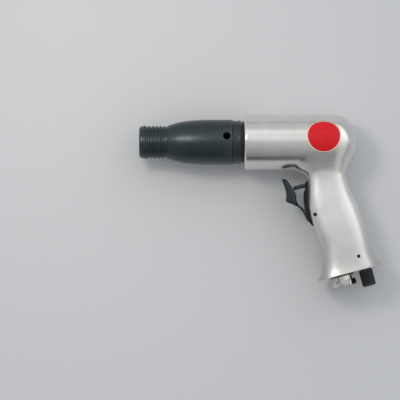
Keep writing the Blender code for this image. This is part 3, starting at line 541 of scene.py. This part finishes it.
def make_housing():
    step = 0.75 * MM
    low = (HOUSING_FRONT - TRIM, -HOUSING_REACH[1], -HOUSING_RADIUS)
    high = (HOUSING_REACH[0], HOUSING_RADIUS, HOUSING_RADIUS)
    points, faces = contour(housing_field, low, high, step)
    before = HOUSING_FRONT - 2 * MM
    bore = [(before, 0), (before, BORE_RADIUS + BORE_LEAD), (HOUSING_FRONT + BORE_LEAD, BORE_RADIUS)]
    bore += [(BORE_END, BORE_RADIUS), (BORE_END, CHAMBER_RADIUS), (CHAMBER_END, CHAMBER_RADIUS)]
    bore += [CHAMBER_TIP, (CHAMBER_TIP[0], 0)]
    handle = HANDLE_IN_TOOL
    slot = [(SLOT_START, -SLOT_FLOOR), (SLOT_END, -SLOT_FLOOR)]
    slot += [(SLOT_END, -SLOT_MOUTH), (SLOT_START, -SLOT_MOUTH)]
    changes = [
        (front_trim(), None),
        (base_trim(), handle),
        (turned(bore), None),
        (badge_disc(BADGE_RADIUS + GAP, BADGE_FLOOR - GAP, BADGE_POCKET_TOP), None),
        (extruded(guide_outline(GAP), GUIDE_HALF_WIDTH + GAP), handle),
        (extruded(slot, SLOT_HALF_WIDTH), handle),
        (rod(THROTTLE_BORE_START, THROTTLE_BORE_END, THROTTLE_BORE), handle @ THROTTLE_IN_HANDLE),
        (turned(INLET_HOLE, 64), handle @ Matrix.Translation((0, -INLET_FRONT, 0))),
        (turned(SPOOL_HOLE, 48), handle @ Matrix.Translation((0, REGULATOR_BEHIND, 0))),
        pin_hole(PIN_RADIUS + GAP, PIVOT_DOWN, -PIVOT_FRONT),
        pin_hole(KEEPER_RADIUS + GAP, KEEPER_DOWN, KEEPER_BEHIND),
    ]
    mesh = combined(mesh_from(points, faces), [("DIFFERENCE", *change) for change in changes])
    new_piece("housing_shell", mesh, "frame", "housing", TOOL, satin_aluminium())


def badge_disc(radius, low, high, rings=10, sides=72, crown=0.0):
    """A round plate that follows the housing's cylinder, between two radii, rounded over at its rim."""
    bm = bmesh.new()
    layers = []
    for height in (low, high):
        layer = []
        for j in range(rings + 1):
            share = j / rings
            drop = crown * share**8 if height == high else 0.0
            ring = []
            for k in range(sides if j else 1):
                a = math.tau * k / sides
                around = BADGE_ANGLE + radius * share * math.sin(a) / HOUSING_RADIUS
                out = height - drop
                x = BADGE_X + radius * share * math.cos(a)
                ring.append(bm.verts.new((x, out * math.sin(around), out * math.cos(around))))
            layer.append(ring)
        for ring, following in zip(layer, layer[1:]):
            span(bm, ring, following)
        layers.append(layer)
    span(bm, layers[0][-1], layers[1][-1])
    bmesh.ops.recalc_face_normals(bm, faces=bm.faces)
    mesh = bpy.data.meshes.new("badge")
    bm.to_mesh(mesh)
    bm.free()
    return mesh


def make_badge():
    mesh = badge_disc(BADGE_RADIUS, BADGE_FLOOR, BADGE_TOP, crown=BADGE_CROWN)
    new_piece("badge_plate", mesh, "frame", "badge", TOOL, enamel_badge())


def bulb_radius(x):
    share = np.clip((x - NECK_END) / (BULB_FULL - NECK_END), 0, 1)
    return THREAD_RADIUS + (BULB_RADIUS - THREAD_RADIUS) * (1 - (1 - share) ** OGIVE_POWER)


def threaded_radius(x, angles):
    """Radius of the helical retainer thread, by angle, at a distance from the muzzle."""
    turn = (x - THREAD_START) / THREAD_PITCH - angles / math.tau
    groove = np.clip(0.5 - 0.9 * np.cos(math.tau * turn), 0, 1)
    groove = groove * groove * (3 - 2 * groove)
    fade = np.clip(turn / 0.25, 0, 1) * np.clip((THREAD_TURNS + 0.6 - turn) / 0.5, 0, 1)
    risen = np.clip((x - THREAD_RISE) / 0.0006, 0, 1)
    crest = MUZZLE_RADIUS + (THREAD_RADIUS - MUZZLE_RADIUS) * risen
    fallen = np.clip((x - THREAD_FALL) / 0.0018, 0, 1)
    crest = crest + (NECK_RADIUS - crest) * fallen
    return crest - THREAD_DEPTH * groove * fade * (1 - fallen)


def ring_points(rings, angles):
    """Points around +X, from rings that each have an x and a radius, which may vary by angle."""
    points = []
    for x, radius in rings:
        radius = np.broadcast_to(radius, angles.shape)
        points.extend(zip(np.full(len(angles), x), radius * np.sin(angles), radius * np.cos(angles)))
    return points


def ring_faces(count, sides, closed=False):
    """Quads from each ring of points to the next, and from the last to the first if it is closed."""
    faces = []
    for i in range(count if closed else count - 1):
        for k in range(sides):
            a, b, after = i * sides, (i + 1) % count * sides, (k + 1) % sides
            faces.append((a + k, b + k, b + after, a + after))
    return faces


def looped(rings, angles):
    """A closed solid around +X, whose last ring is joined to its first."""
    faces = ring_faces(len(rings), len(angles), closed=True)
    return outward(mesh_from(ring_points(rings, angles), faces))


def make_barrel():
    """The nose with its helical thread, the bulb, the exhaust hole and the shank."""
    sides = 144
    angles = np.arange(sides) / sides * math.tau
    shares = np.linspace(0.006, 1, 60) ** 1.5
    rings = list(MUZZLE_FACE)
    for x in np.arange(THREAD_RISE, THREAD_FALL + 0.0020, THREAD_STEP):
        rings.append((x, threaded_radius(x, angles)))
    rings += [(THREAD_FALL + 0.0021, NECK_RADIUS), (NECK_END - 0.0009, NECK_RADIUS)]
    rings.append((NECK_END - 0.0002, NECK_RADIUS + 0.0003))
    rings += [(x, bulb_radius(x)) for x in NECK_END + (BULB_FULL - NECK_END) * shares]
    rings += [(BULB_END - 0.0007, BULB_RADIUS), (BULB_END - 0.0002, BULB_RADIUS - 0.0002)]
    rings += [(BULB_END, BULB_RADIUS - 0.0006), (BULB_END, SHANK_RADIUS), (BARREL_REAR, SHANK_RADIUS)]
    rings += [(BARREL_REAR, PISTON_BORE), (PISTON_BORE_START, PISTON_BORE), (SOCKET_END, SOCKET_RADIUS)]
    mesh = looped(rings + list(SOCKET_MOUTH), angles)
    hole = [(0, 0), (0, EXHAUST_RADIUS), (EXHAUST_LENGTH, EXHAUST_RADIUS)]
    hole += [(EXHAUST_FLARE, EXHAUST_RADIUS + 0.0010), (EXHAUST_FLARE, 0)]
    aim = Matrix.Translation((EXHAUST_X, 0, 0)) @ Matrix.Rotation(-EXHAUST_ANGLE, 4, "X")
    aim = aim @ Matrix.Translation((0, 0, EXHAUST_START)) @ Matrix.Rotation(math.radians(-90), 4, "Y")
    mesh = combined(mesh, [("DIFFERENCE", turned(hole, 48), aim)])
    new_piece("barrel_body", mesh, "frame", "barrel", TOOL, black_oxide())


def outward(mesh):
    bm = bmesh.new()
    bm.from_mesh(mesh)
    bmesh.ops.recalc_face_normals(bm, faces=bm.faces)
    bm.to_mesh(mesh)
    bm.free()
    return mesh


def rounded(profile, radius, steps=4):
    """A profile with each corner that isn't on the axis rounded off."""
    made = []
    for i, corner in enumerate(profile):
        here = Vector(corner)
        if corner[1] == 0:
            made.append(corner)
            continue
        before, after = Vector(profile[i - 1]) - here, Vector(profile[(i + 1) % len(profile)]) - here
        r = min(radius, 0.45 * before.length, 0.45 * after.length)
        start, end = here + before.normalized() * r, here + after.normalized() * r
        for k in range(steps + 1):
            u = k / steps
            made.append(tuple((1 - u) ** 2 * start + 2 * u * (1 - u) * here + u * u * end))
    return made


def make_ring():
    inner, crown = SHANK_RADIUS + GAP, RING_RADIUS + RING_CROWN
    profile = [(RING_START, inner), (RING_START, crown), (RING_START + 0.0012, crown)]
    profile += [(RING_START + 0.0015, RING_RADIUS), (RING_END - 0.0021, RING_RADIUS)]
    profile += [(RING_END - 0.0018, crown), (RING_END - 0.0010, crown), (RING_END - 0.0007, RING_RADIUS)]
    profile += [(RING_END, RING_RADIUS), (RING_END, inner)]
    mesh = turned(rounded(profile, 0.25 * MM), 144)
    new_piece("lock_ring_body", mesh, "frame", "lock_ring", TOOL, black_oxide())


def make_seal():
    circle = [math.tau * k / 16 for k in range(16)]
    middle = SHANK_RADIUS + GAP + SEAL_SECTION
    profile = [(SEAL_X + SEAL_SECTION * math.cos(a), middle + SEAL_SECTION * math.sin(a)) for a in circle]
    new_piece("barrel_seal", turned(profile, 96), "frame", "barrel_o_ring", TOOL, rubber())


def slab(distance, z, half, r):
    """An outline's field made into that of a plate, with its edges rounded."""
    return round_meet(distance, np.abs(z) - half, r)


def from_pivot(outline):
    """Positions down the handle and in front of it, moved to the trigger's own frame."""
    return [(down - PIVOT_DOWN, PIVOT_FRONT - front) for down, front in outline]


def make_trigger():
    pad_outline, arm_outline = softened(from_pivot(PAD_OUTLINE)), softened(from_pivot(ARM_OUTLINE), 2)

    def field(x, y, z):
        pad = slab(outline_distance(pad_outline, x, y), z, PAD_HALF_WIDTH, PAD_ROUND)
        arm = slab(outline_distance(arm_outline, x, y), z, ARM_HALF_WIDTH - 0.0002, 0.0007)
        boss = slab(np.hypot(x, y) - BOSS_RADIUS, z, ARM_HALF_WIDTH, 0.0006)
        made = round_union(round_union(pad, arm, 0.0020), boss, 0.0012)
        return round_meet(made, PIN_RADIUS + GAP - np.hypot(x, y), 0.0002)

    low = (min(x for x, _ in pad_outline), min(y for _, y in pad_outline), -PAD_HALF_WIDTH)
    high = (BOSS_RADIUS, BOSS_RADIUS, PAD_HALF_WIDTH)
    mesh = mesh_from(*contour(field, low, high, (0.4) * MM))
    place = TOOL @ HANDLE_IN_TOOL @ Matrix.Translation((PIVOT_DOWN, -PIVOT_FRONT, 0))
    new_piece("trigger_lever", mesh, "trigger", "trigger", place, black_enamel())


def make_guide():
    outline = softened(guide_outline(0), 2)
    middle = (SLOT_START + SLOT_END) / 2

    def field(x, y, z):
        strip = slab(outline_distance(outline, x, y), z, GUIDE_HALF_WIDTH, 0.0008)
        slot = np.maximum(np.abs(x - middle) - (SLOT_END - SLOT_START) / 2, np.abs(z) - SLOT_HALF_WIDTH)
        hole = np.hypot(x - THROTTLE_DOWN, z) - STEM_HOLE
        return round_meet(round_meet(strip, -slot, 0.0004), -hole, 0.0003)

    low = (GUIDE_PROUD[0][0], min(y for _, y in outline), -GUIDE_HALF_WIDTH)
    high = (GUIDE_PROUD[-1][0], max(y for _, y in outline), GUIDE_HALF_WIDTH)
    mesh = mesh_from(*contour(field, low, high, (0.35) * MM))
    place = TOOL @ HANDLE_IN_TOOL
    new_piece("guide_strip", mesh, "frame", "trigger_guide", place, black_plastic())


def helix_tube(start, end, radius, depth, pitch, sides=72, per_turn=14):
    """A rod around +X with a thread on it."""
    angles = np.arange(sides) / sides * math.tau
    rings = []
    for x in np.arange(start, end, pitch / per_turn):
        turn = (x - start) / pitch - angles / math.tau
        rings.append((x, radius - depth * (0.5 - 0.5 * np.cos(math.tau * turn))))
    count = len(rings)
    caps = [tuple(range(sides)), tuple(reversed(range((count - 1) * sides, count * sides)))]
    return outward(mesh_from(ring_points(rings, angles), ring_faces(count, sides) + caps))


def make_inlet():
    """The plated bushing: a round neck and a hexagon with chamfered corners, threaded inside."""
    corner = HEX_FLATS / math.sqrt(3)
    prism = turned(rod_profile(HEX_START, INLET_END, corner), 6, math.radians(30))
    limit = corner - 0.35 * MM
    cone = [(HEX_START, 0), (HEX_START, limit - 0.0009), (HEX_START + 0.0005, limit)]
    cone += [(INLET_END - 0.0008, limit), (INLET_END, limit - 0.0014), (INLET_END, 0)]
    hexagon = combined(prism, [("INTERSECT", turned(cone, 96), None)])
    neck = turned(rounded(rod_profile(INLET_START, HEX_START + 0.002, INLET_RADIUS), 0.3 * MM), 96)
    start, end = INLET_END + GAP - INLET_MOUTH_DEPTH, INLET_END + GAP
    mouth = [(start, 0), (start, INLET_MOUTH_RADII[0]), (end, INLET_MOUTH_RADII[1]), (end, 0)]
    throat = rod(INLET_THROAT_START, INLET_THREAD_START + 0.001, INLET_THROAT, 64)
    thread = helix_tube(
        INLET_THREAD_START, INLET_END + 0.001, INLET_THREAD_RADIUS, INLET_THREAD_DEPTH, INLET_PITCH
    )
    changes = [("UNION", hexagon, None), ("DIFFERENCE", throat, None)]
    changes += [("DIFFERENCE", thread, None), ("DIFFERENCE", turned(mouth, 64), None)]
    mesh = combined(neck, changes)
    mesh.transform(TOOL.inverted() @ INLET)
    new_piece("inlet_bushing_body", mesh, "frame", "inlet_bushing", TOOL, plated_steel())
    inner, start = INLET_RADIUS + GAP, HANDLE_BASE + GAP
    end = start + WASHER_THICKNESS
    washer = [(start, inner), (start, WASHER_RADIUS), (end, WASHER_RADIUS), (end, inner)]
    mesh = turned(rounded(washer, 0.3 * MM), 96)
    new_piece("inlet_washer", mesh, "frame", "inlet_seal", INLET, rubber())


def make_knob():
    """The power knob, with a diamond knurl around it."""
    sides, rows = 216, 90
    angles = np.arange(sides) / sides * math.tau
    body_start, body_end = KNOB_START + 0.0008, KNOB_END - 0.0009
    rings = [(KNOB_START, KNOB_BORE), (KNOB_START, KNOB_RADIUS - 0.0009)]
    for x in np.linspace(body_start, body_end, rows):
        slope = (x - body_start) / KNOB_RADIUS * KNURL_SLOPE
        one, two = (np.abs(((angles + way * slope) * KNURLS / math.tau) % 1 - 0.5) * 2 for way in (1, -1))
        ends = np.clip(min(x - body_start, body_end - x) / 0.0007, 0, 1)
        cut = KNURL_DEPTH * ends * np.clip(1.55 * np.maximum(one, two) ** 3, 0, 1)
        rings.append((x, KNOB_RADIUS - cut))
    rings += [(KNOB_END, KNOB_RADIUS - 0.0010), (KNOB_END, 0.0032), (KNOB_END - 0.0006, 0.0026)]
    rings += [(KNOB_END - 0.0006, 0.0008), (KNOB_END - 0.0040, 0.0008), (KNOB_END - 0.0040, KNOB_BORE)]
    mesh, look = looped(rings, angles), knurled_black()
    new_piece("power_knob", mesh, "regulator", "regulator_knob", REGULATOR, look)


def make_stem():
    profile = [(STEM_TIP, 0), (STEM_TIP, STEM_TIP_RADIUS), (STEM_TIP + 0.0009, STEM_RADIUS)]
    profile += [(STEM_END, STEM_RADIUS), (STEM_END, 0)]
    mesh = turned(rounded(profile, 0.3 * MM), 40)
    place = TOOL @ HANDLE_IN_TOOL @ THROTTLE_IN_HANDLE
    new_piece("stem_rod", mesh, "throttle", "throttle_stem", place, black_oxide())


def make_pins():
    for name, node_name, down, behind, radius, half in (
        ("pivot_pin", "trigger_pin", PIVOT_DOWN, -PIVOT_FRONT, PIN_RADIUS, PIN_HALF),
        ("keeper_pin", "regulator_pin", KEEPER_DOWN, KEEPER_BEHIND, KEEPER_RADIUS, KEEPER_HALF),
    ):
        place = upright(down, behind, TOOL @ HANDLE_IN_TOOL)
        mesh = turned(rounded(rod_profile(-half, half, radius), 0.3 * MM), 32)
        # The pins take the black oxide look, which is partly painted shade: it keeps the holes they sit in
        # dark.
        new_piece(name, mesh, "frame", node_name, place, black_oxide())


# ---------------------------------------------------------------- materials


def new_look(name):
    look = bpy.data.materials.new(name)
    look.use_nodes = True
    return look, look.node_tree, look.node_tree.nodes["Principled BSDF"]


def feed(tree, socket, value):
    """Links another node's output into a socket, or gives it a plain value."""
    if isinstance(value, bpy.types.NodeSocket):
        tree.links.new(value, socket)
    else:
        socket.default_value = value


def node(tree, kind, inputs=None, **settings):
    made = tree.nodes.new(kind)
    for key, value in settings.items():
        setattr(made, key, value)
    for key, value in (inputs or {}).items():
        feed(tree, made.inputs[key], value)
    return made


def place_of(tree):
    return node(tree, "ShaderNodeTexCoord").outputs["Object"]


def noise(tree, scale, detail=3.0, roughness=0.55, where=None):
    inputs = {"Vector": where or place_of(tree), "Scale": scale, "Detail": detail, "Roughness": roughness}
    return node(tree, "ShaderNodeTexNoise", inputs).outputs["Fac"]


def ranged(tree, value, low, high, start=0.0, end=1.0):
    """A value from one range mapped onto another."""
    inputs = {"Value": value, "From Min": start, "From Max": end, "To Min": low, "To Max": high}
    return node(tree, "ShaderNodeMapRange", inputs).outputs["Result"]


def mixed(tree, share, first, second):
    made = node(tree, "ShaderNodeMix", data_type="RGBA")
    for index, value in ((0, share), (6, first), (7, second)):
        feed(tree, made.inputs[index], value)
    return made.outputs[2]


def maths(tree, operation, first, second=0.0):
    made = node(tree, "ShaderNodeMath", operation=operation)
    for socket, value in zip(made.inputs, (first, second)):
        feed(tree, socket, value)
    return made.outputs[0]


def bumped(tree, shader, height, distance, strength=1.0, below=None):
    inputs = {"Height": height, "Distance": distance, "Strength": strength}
    if below:
        inputs["Normal"] = below
    made = node(tree, "ShaderNodeBump", inputs).outputs["Normal"]
    tree.links.new(made, shader.inputs["Normal"])
    return made


def squeezed(tree, scale):
    """Object coordinates, scaled differently along each axis."""
    inputs = {"Vector": place_of(tree), "Scale": scale}
    return node(tree, "ShaderNodeMapping", inputs).outputs["Vector"]


def clouded(tree, cloud, first, second, start=0.3, end=0.7):
    """Two colours, as red, green and blue, mixed in patches by a noise."""
    return mixed(tree, ranged(tree, cloud, 0, 1, start, end), (*first, 1), (*second, 1))


def worn_edge(tree, tint, most, start, end, wear_and_grey_foot):
    """A colour that turns to that of worn metal along sharp edges."""
    edge = ranged(tree, node(tree, "ShaderNodeNewGeometry").outputs["Pointiness"], 0, most, start, end)
    return mixed(tree, edge, tint, (*wear_and_grey_foot, 1))


def satin_aluminium():
    """Nearly polished on the cylinder, turning to satin down the handle, and greyer at its foot."""
    look, tree, shader = new_look("satin_aluminium_look")
    blotch = noise(tree, 70.0, 4.0)
    grain = noise(tree, 2600.0, 2.0)
    height = node(tree, "ShaderNodeSeparateXYZ", {"Vector": place_of(tree)}).outputs["Y"]
    grip = ranged(tree, height, 0, 1, -0.016, -0.034)
    low = ranged(tree, height, 0, 1, -0.060, -0.110)
    bright = clouded(tree, blotch, (0.74, 0.735, 0.72), (0.79, 0.785, 0.775), 0.35, 0.65)
    satin = clouded(tree, blotch, (0.76, 0.758, 0.75), (0.81, 0.807, 0.80), 0.35, 0.65)
    # Towards the foot the handle's colour turns a darker grey.
    wear_and_grey_foot = mixed(tree, low, satin, (0.58, 0.58, 0.576, 1))
    tree.links.new(mixed(tree, grip, bright, wear_and_grey_foot), shader.inputs["Base Color"])
    shader.inputs["Metallic"].default_value = 1.0
    polish = maths(tree, "ADD", ranged(tree, blotch, 0.15, 0.20, 0.3, 0.7), ranged(tree, grip, 0.0, 0.22))
    rough = maths(tree, "ADD", polish, ranged(tree, grain, -0.03, 0.04, 0.3, 0.7))
    tree.links.new(rough, shader.inputs["Roughness"])
    soft = bumped(tree, shader, noise(tree, 260.0, 2.0), 0.02 * MM, 0.4)
    bumped(tree, shader, grain, 0.008 * MM, 0.6, soft)
    return look


def black_oxide():
    look, tree, shader = new_look("black_oxide_look")
    along = squeezed(tree, (1.0, 0.02, 0.02))
    lathe = noise(tree, 4200.0, 2.0, 0.6, along)
    cloud = noise(tree, 120.0, 4.0)
    tint = clouded(tree, cloud, (0.004, 0.010, 0.011), (0.008, 0.014, 0.015), 0.35, 0.65)
    tree.links.new(worn_edge(tree, tint, 0.8, 0.53, 0.60, (0.16, 0.16, 0.16)), shader.inputs["Base Color"])
    shader.inputs["Specular IOR Level"].default_value = 0.7
    shader.inputs["Specular Tint"].default_value = (0.80, 0.97, 1.0, 1)
    tree.links.new(ranged(tree, cloud, 0.28, 0.36, 0.3, 0.7), shader.inputs["Roughness"])
    bumped(tree, shader, lathe, 0.012 * MM, 0.8)
    return look


def knurled_black():
    look, tree, shader = new_look("knurled_black_look")
    cloud = noise(tree, 300.0, 3.0)
    wear_and_grey_foot = worn_edge(tree, (0.028, 0.031, 0.033, 1), 1, 0.50, 0.58, (0.13, 0.13, 0.13))
    tree.links.new(wear_and_grey_foot, shader.inputs["Base Color"])
    shader.inputs["Metallic"].default_value = 0.7
    tree.links.new(ranged(tree, cloud, 0.30, 0.42, 0.3, 0.7), shader.inputs["Roughness"])
    bumped(tree, shader, noise(tree, 2500.0, 2.0), 0.008 * MM, 0.6)
    return look


def black_enamel():
    look, tree, shader = new_look("black_enamel_look")
    peel = noise(tree, 900.0, 2.0)
    cloud = noise(tree, 160.0, 3.0)
    tint = clouded(tree, cloud, (0.006, 0.010, 0.012), (0.012, 0.016, 0.018))
    tree.links.new(worn_edge(tree, tint, 0.5, 0.56, 0.64, (0.10, 0.10, 0.10)), shader.inputs["Base Color"])
    shader.inputs["Specular IOR Level"].default_value = 0.55
    shader.inputs["Specular Tint"].default_value = (0.85, 0.98, 1.0, 1)
    tree.links.new(ranged(tree, cloud, 0.26, 0.34, 0.3, 0.7), shader.inputs["Roughness"])
    bumped(tree, shader, peel, 0.03 * MM, 0.5)
    return look


def black_plastic():
    look, tree, shader = new_look("black_plastic_look")
    grain = noise(tree, 2200.0, 3.0)
    tint = clouded(tree, noise(tree, 200.0), (0.004, 0.007, 0.008), (0.008, 0.011, 0.012))
    tree.links.new(tint, shader.inputs["Base Color"])
    shader.inputs["Specular IOR Level"].default_value = 0.25
    tree.links.new(ranged(tree, grain, 0.42, 0.58, 0.3, 0.7), shader.inputs["Roughness"])
    bumped(tree, shader, grain, 0.02 * MM, 0.6)
    return look


def plated_steel():
    look, tree, shader = new_look("plated_steel_look")
    cloud = noise(tree, 220.0, 4.0)
    tint = clouded(tree, cloud, (0.20, 0.205, 0.20), (0.30, 0.30, 0.29))
    tree.links.new(worn_edge(tree, tint, 1, 0.52, 0.60, (0.72, 0.71, 0.69)), shader.inputs["Base Color"])
    shader.inputs["Metallic"].default_value = 1.0
    tree.links.new(ranged(tree, cloud, 0.12, 0.22, 0.3, 0.7), shader.inputs["Roughness"])
    bumped(tree, shader, noise(tree, 1500.0, 2.0), 0.010 * MM, 0.6)
    return look


def turned_metal(name, first, second):
    """Clean metal with fine lathe marks around the X axis."""
    look, tree, shader = new_look(name)
    turning = noise(tree, 3000.0, 2.0, 0.6, squeezed(tree, (1.0, 0.03, 0.03)))
    cloud = noise(tree, 200.0, 3.0)
    tree.links.new(clouded(tree, cloud, first, second), shader.inputs["Base Color"])
    shader.inputs["Metallic"].default_value = 1.0
    tree.links.new(ranged(tree, cloud, 0.24, 0.34, 0.3, 0.7), shader.inputs["Roughness"])
    bumped(tree, shader, turning, 0.008 * MM, 0.7)
    return look


def bare_steel():
    return turned_metal("bare_steel_look", (0.42, 0.42, 0.41), (0.54, 0.54, 0.53))


def brass():
    return turned_metal("brass_look", (0.62, 0.45, 0.19), (0.74, 0.58, 0.29))


def rubber():
    look, tree, shader = new_look("rubber_look")
    dust = noise(tree, 500.0, 4.0)
    tint = clouded(tree, dust, (0.010, 0.010, 0.011), (0.024, 0.024, 0.024), 0.4, 0.7)
    tree.links.new(tint, shader.inputs["Base Color"])
    tree.links.new(ranged(tree, dust, 0.55, 0.75, 0.3, 0.7), shader.inputs["Roughness"])
    bumped(tree, shader, noise(tree, 2600.0, 2.0), 0.012 * MM, 0.5)
    return look


def enamel_badge():
    """Red enamel inside a pale rim, by distance from the middle of the badge."""
    look, tree, shader = new_look("enamel_badge_look")
    middle = (BADGE_X, HOUSING_RADIUS * math.sin(BADGE_ANGLE), HOUSING_RADIUS * math.cos(BADGE_ANGLE))
    apart = node(tree, "ShaderNodeVectorMath", {0: place_of(tree), 1: middle}, operation="DISTANCE")
    far = apart.outputs["Value"]
    cloud = noise(tree, 350.0, 3.0)
    red = clouded(tree, cloud, (0.60, 0.004, 0.010), (0.68, 0.008, 0.016))
    rim_start = BADGE_RADIUS - BADGE_RIM
    rim = ranged(tree, far, 0, 1, rim_start - 0.15 * MM, rim_start)
    tree.links.new(mixed(tree, rim, red, (0.80, 0.68, 0.56, 1)), shader.inputs["Base Color"])
    tree.links.new(ranged(tree, cloud, 0.22, 0.30, 0.3, 0.7), shader.inputs["Roughness"])
    shader.inputs["Specular IOR Level"].default_value = 0.25
    shader.inputs["Coat Weight"].default_value = 0.10
    shader.inputs["Coat Roughness"].default_value = 0.15
    bumped(tree, shader, ranged(tree, far, 1, 0, rim_start - 0.30 * MM, rim_start), 0.05 * MM)
    return look


def floor_look():
    look, tree, shader = new_look("floor_look")
    speck = noise(tree, 900.0, 3.0)
    tint = clouded(tree, speck, (0.60, 0.62, 0.647), (0.655, 0.675, 0.702))
    tree.links.new(tint, shader.inputs["Base Color"])
    shader.inputs["Roughness"].default_value = 0.75
    bumped(tree, shader, speck, 0.02 * MM, 0.4)
    return look


# ---------------------------------------------------------------- studio


def make_camera():
    """Straight above, with room on the muzzle's side of the tool."""
    camera = bpy.data.objects.new("camera", bpy.data.cameras.new("camera"))
    bpy.context.scene.collection.objects.link(camera)
    camera.data.sensor_width = 36.0
    camera.data.lens = 36.0 * CAMERA_HEIGHT / CAMERA_VIEW
    camera.location = (MUZZLE.x + CAMERA_SIDE, MUZZLE.y - CAMERA_DOWN, MUZZLE.z + CAMERA_HEIGHT)
    camera.data.clip_start = 0.01
    bpy.context.scene.camera = camera


def make_floor():
    bpy.ops.mesh.primitive_plane_add(size=6.0, location=(0, 0, 0))
    floor = bpy.context.object
    floor.name = "floor"
    floor.data.materials.append(floor_look())


def make_world():
    """Studio light that varies across the tool and along it, and is even near the skyline."""
    world = bpy.data.worlds.new("studio")
    bpy.context.scene.world = world
    world.use_nodes = True
    tree = world.node_tree
    direction = node(tree, "ShaderNodeTexCoord").outputs["Generated"]
    parts = node(tree, "ShaderNodeSeparateXYZ", {"Vector": direction}).outputs
    aside = maths(tree, "ABSOLUTE", maths(tree, "ARCTAN2", parts["X"], parts["Z"]))
    to_side = ranged(tree, aside, 0, 1, math.radians(14), math.radians(34))
    middle = light_ramp(tree, parts["Y"], parts["Z"], SKY_ACROSS)
    across = mixed(tree, to_side, middle, light_ramp(tree, parts["Y"], parts["Z"], SKY_SIDES))
    along = light_ramp(tree, parts["X"], parts["Z"], SKY_ALONG)
    background = tree.nodes["Background"]
    product = node(tree, "ShaderNodeVectorMath", {0: across, 1: along}, operation="MULTIPLY").outputs[0]
    skyline = (*[SKY_LOW / SKY_PEAK**2] * 3, 1)
    low = ranged(tree, parts["Z"], 1, 0, 0.04, 0.16)
    tree.links.new(mixed(tree, low, product, skyline), background.inputs["Color"])
    background.inputs["Strength"].default_value = SKY_PEAK**2


def light_ramp(tree, side, up, stops):
    """Light by the angle from straight up towards a side."""
    angle = maths(tree, "ARCTAN2", side, up)
    ramp = node(tree, "ShaderNodeValToRGB", {"Fac": ranged(tree, angle, 0, 1, -math.pi / 2, math.pi / 2)})
    ramp.color_ramp.interpolation = "LINEAR"
    elements = ramp.color_ramp.elements
    for i, (degrees, light) in enumerate(stops):
        at = (degrees + 90) / 180
        stop = elements[i] if i < 2 else elements.new(at)
        stop.position = at
        stop.color = (*[light / SKY_PEAK] * 3, 1)
    return ramp.outputs["Color"]


def make_nose_light():
    """A small warm box that puts a highlight on the bulb."""
    light = bpy.data.objects.new("nose_box", bpy.data.lights.new("nose_box", "AREA"))
    bpy.context.scene.collection.objects.link(light)
    light.data.shape = "RECTANGLE"
    light.data.size, light.data.size_y = NOSE_LIGHT_SIZE, NOSE_LIGHT_SIZE
    light.data.energy = NOSE_LIGHT_POWER
    light.data.color = NOSE_LIGHT_COLOUR
    light.location = MUZZLE + NOSE_LIGHT_AIM + NOSE_LIGHT_AWAY
    light.rotation_euler = (-NOSE_LIGHT_AWAY).to_track_quat("-Z", "Y").to_euler()


# ---------------------------------------------------------------- the scene

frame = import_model()
LOWEST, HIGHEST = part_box("barrel")
MUZZLE = Vector((LOWEST.x, (LOWEST.y + HIGHEST.y) / 2, (LOWEST.z + HIGHEST.z) / 2))
TOOL = Matrix.Translation(MUZZLE)
HANDLE_IN_TOOL = Matrix.Translation((HANDLE_X, 0, 0)) @ Matrix.Rotation(HANDLE_LEAN - math.pi / 2, 4, "Z")
THROTTLE_IN_HANDLE = Matrix.Translation((THROTTLE_DOWN, 0, 0)) @ Matrix.Rotation(math.pi / 2, 4, "Z")
INLET = TOOL @ HANDLE_IN_TOOL @ Matrix.Translation((0, -INLET_FRONT, 0))
REGULATOR = TOOL @ HANDLE_IN_TOOL @ Matrix.Translation((0, REGULATOR_BEHIND, 0))

bpy.context.scene.view_settings.view_transform = "Standard"
make_camera()
make_floor()
make_world()
make_nose_light()
make_housing()
make_barrel()
make_ring()
make_seal()
make_badge()
make_trigger()
make_guide()
make_stem()
make_inlet()
make_knob()
make_pins()

# Pieces with the CAD's own shapes that only need a look.
CARRIED = (
    (bare_steel(), ("piston", "valve_plate", "valve_body", "valve_disc", "valve_dowel", "wave_washer")),
    (bare_steel(), ("throttle_ball", "throttle_spring", "inlet_screen")),
    (brass(), ("throttle_bushing", "regulator_spool")),
    (rubber(), ("throttle_o_ring", "stem_o_ring", "regulator_o_ring")),
)
for look, names in CARRIED:
    for name in names:
        mesh = frame["nodes"][name].data
        mesh.materials.clear()
        mesh.materials.append(look)
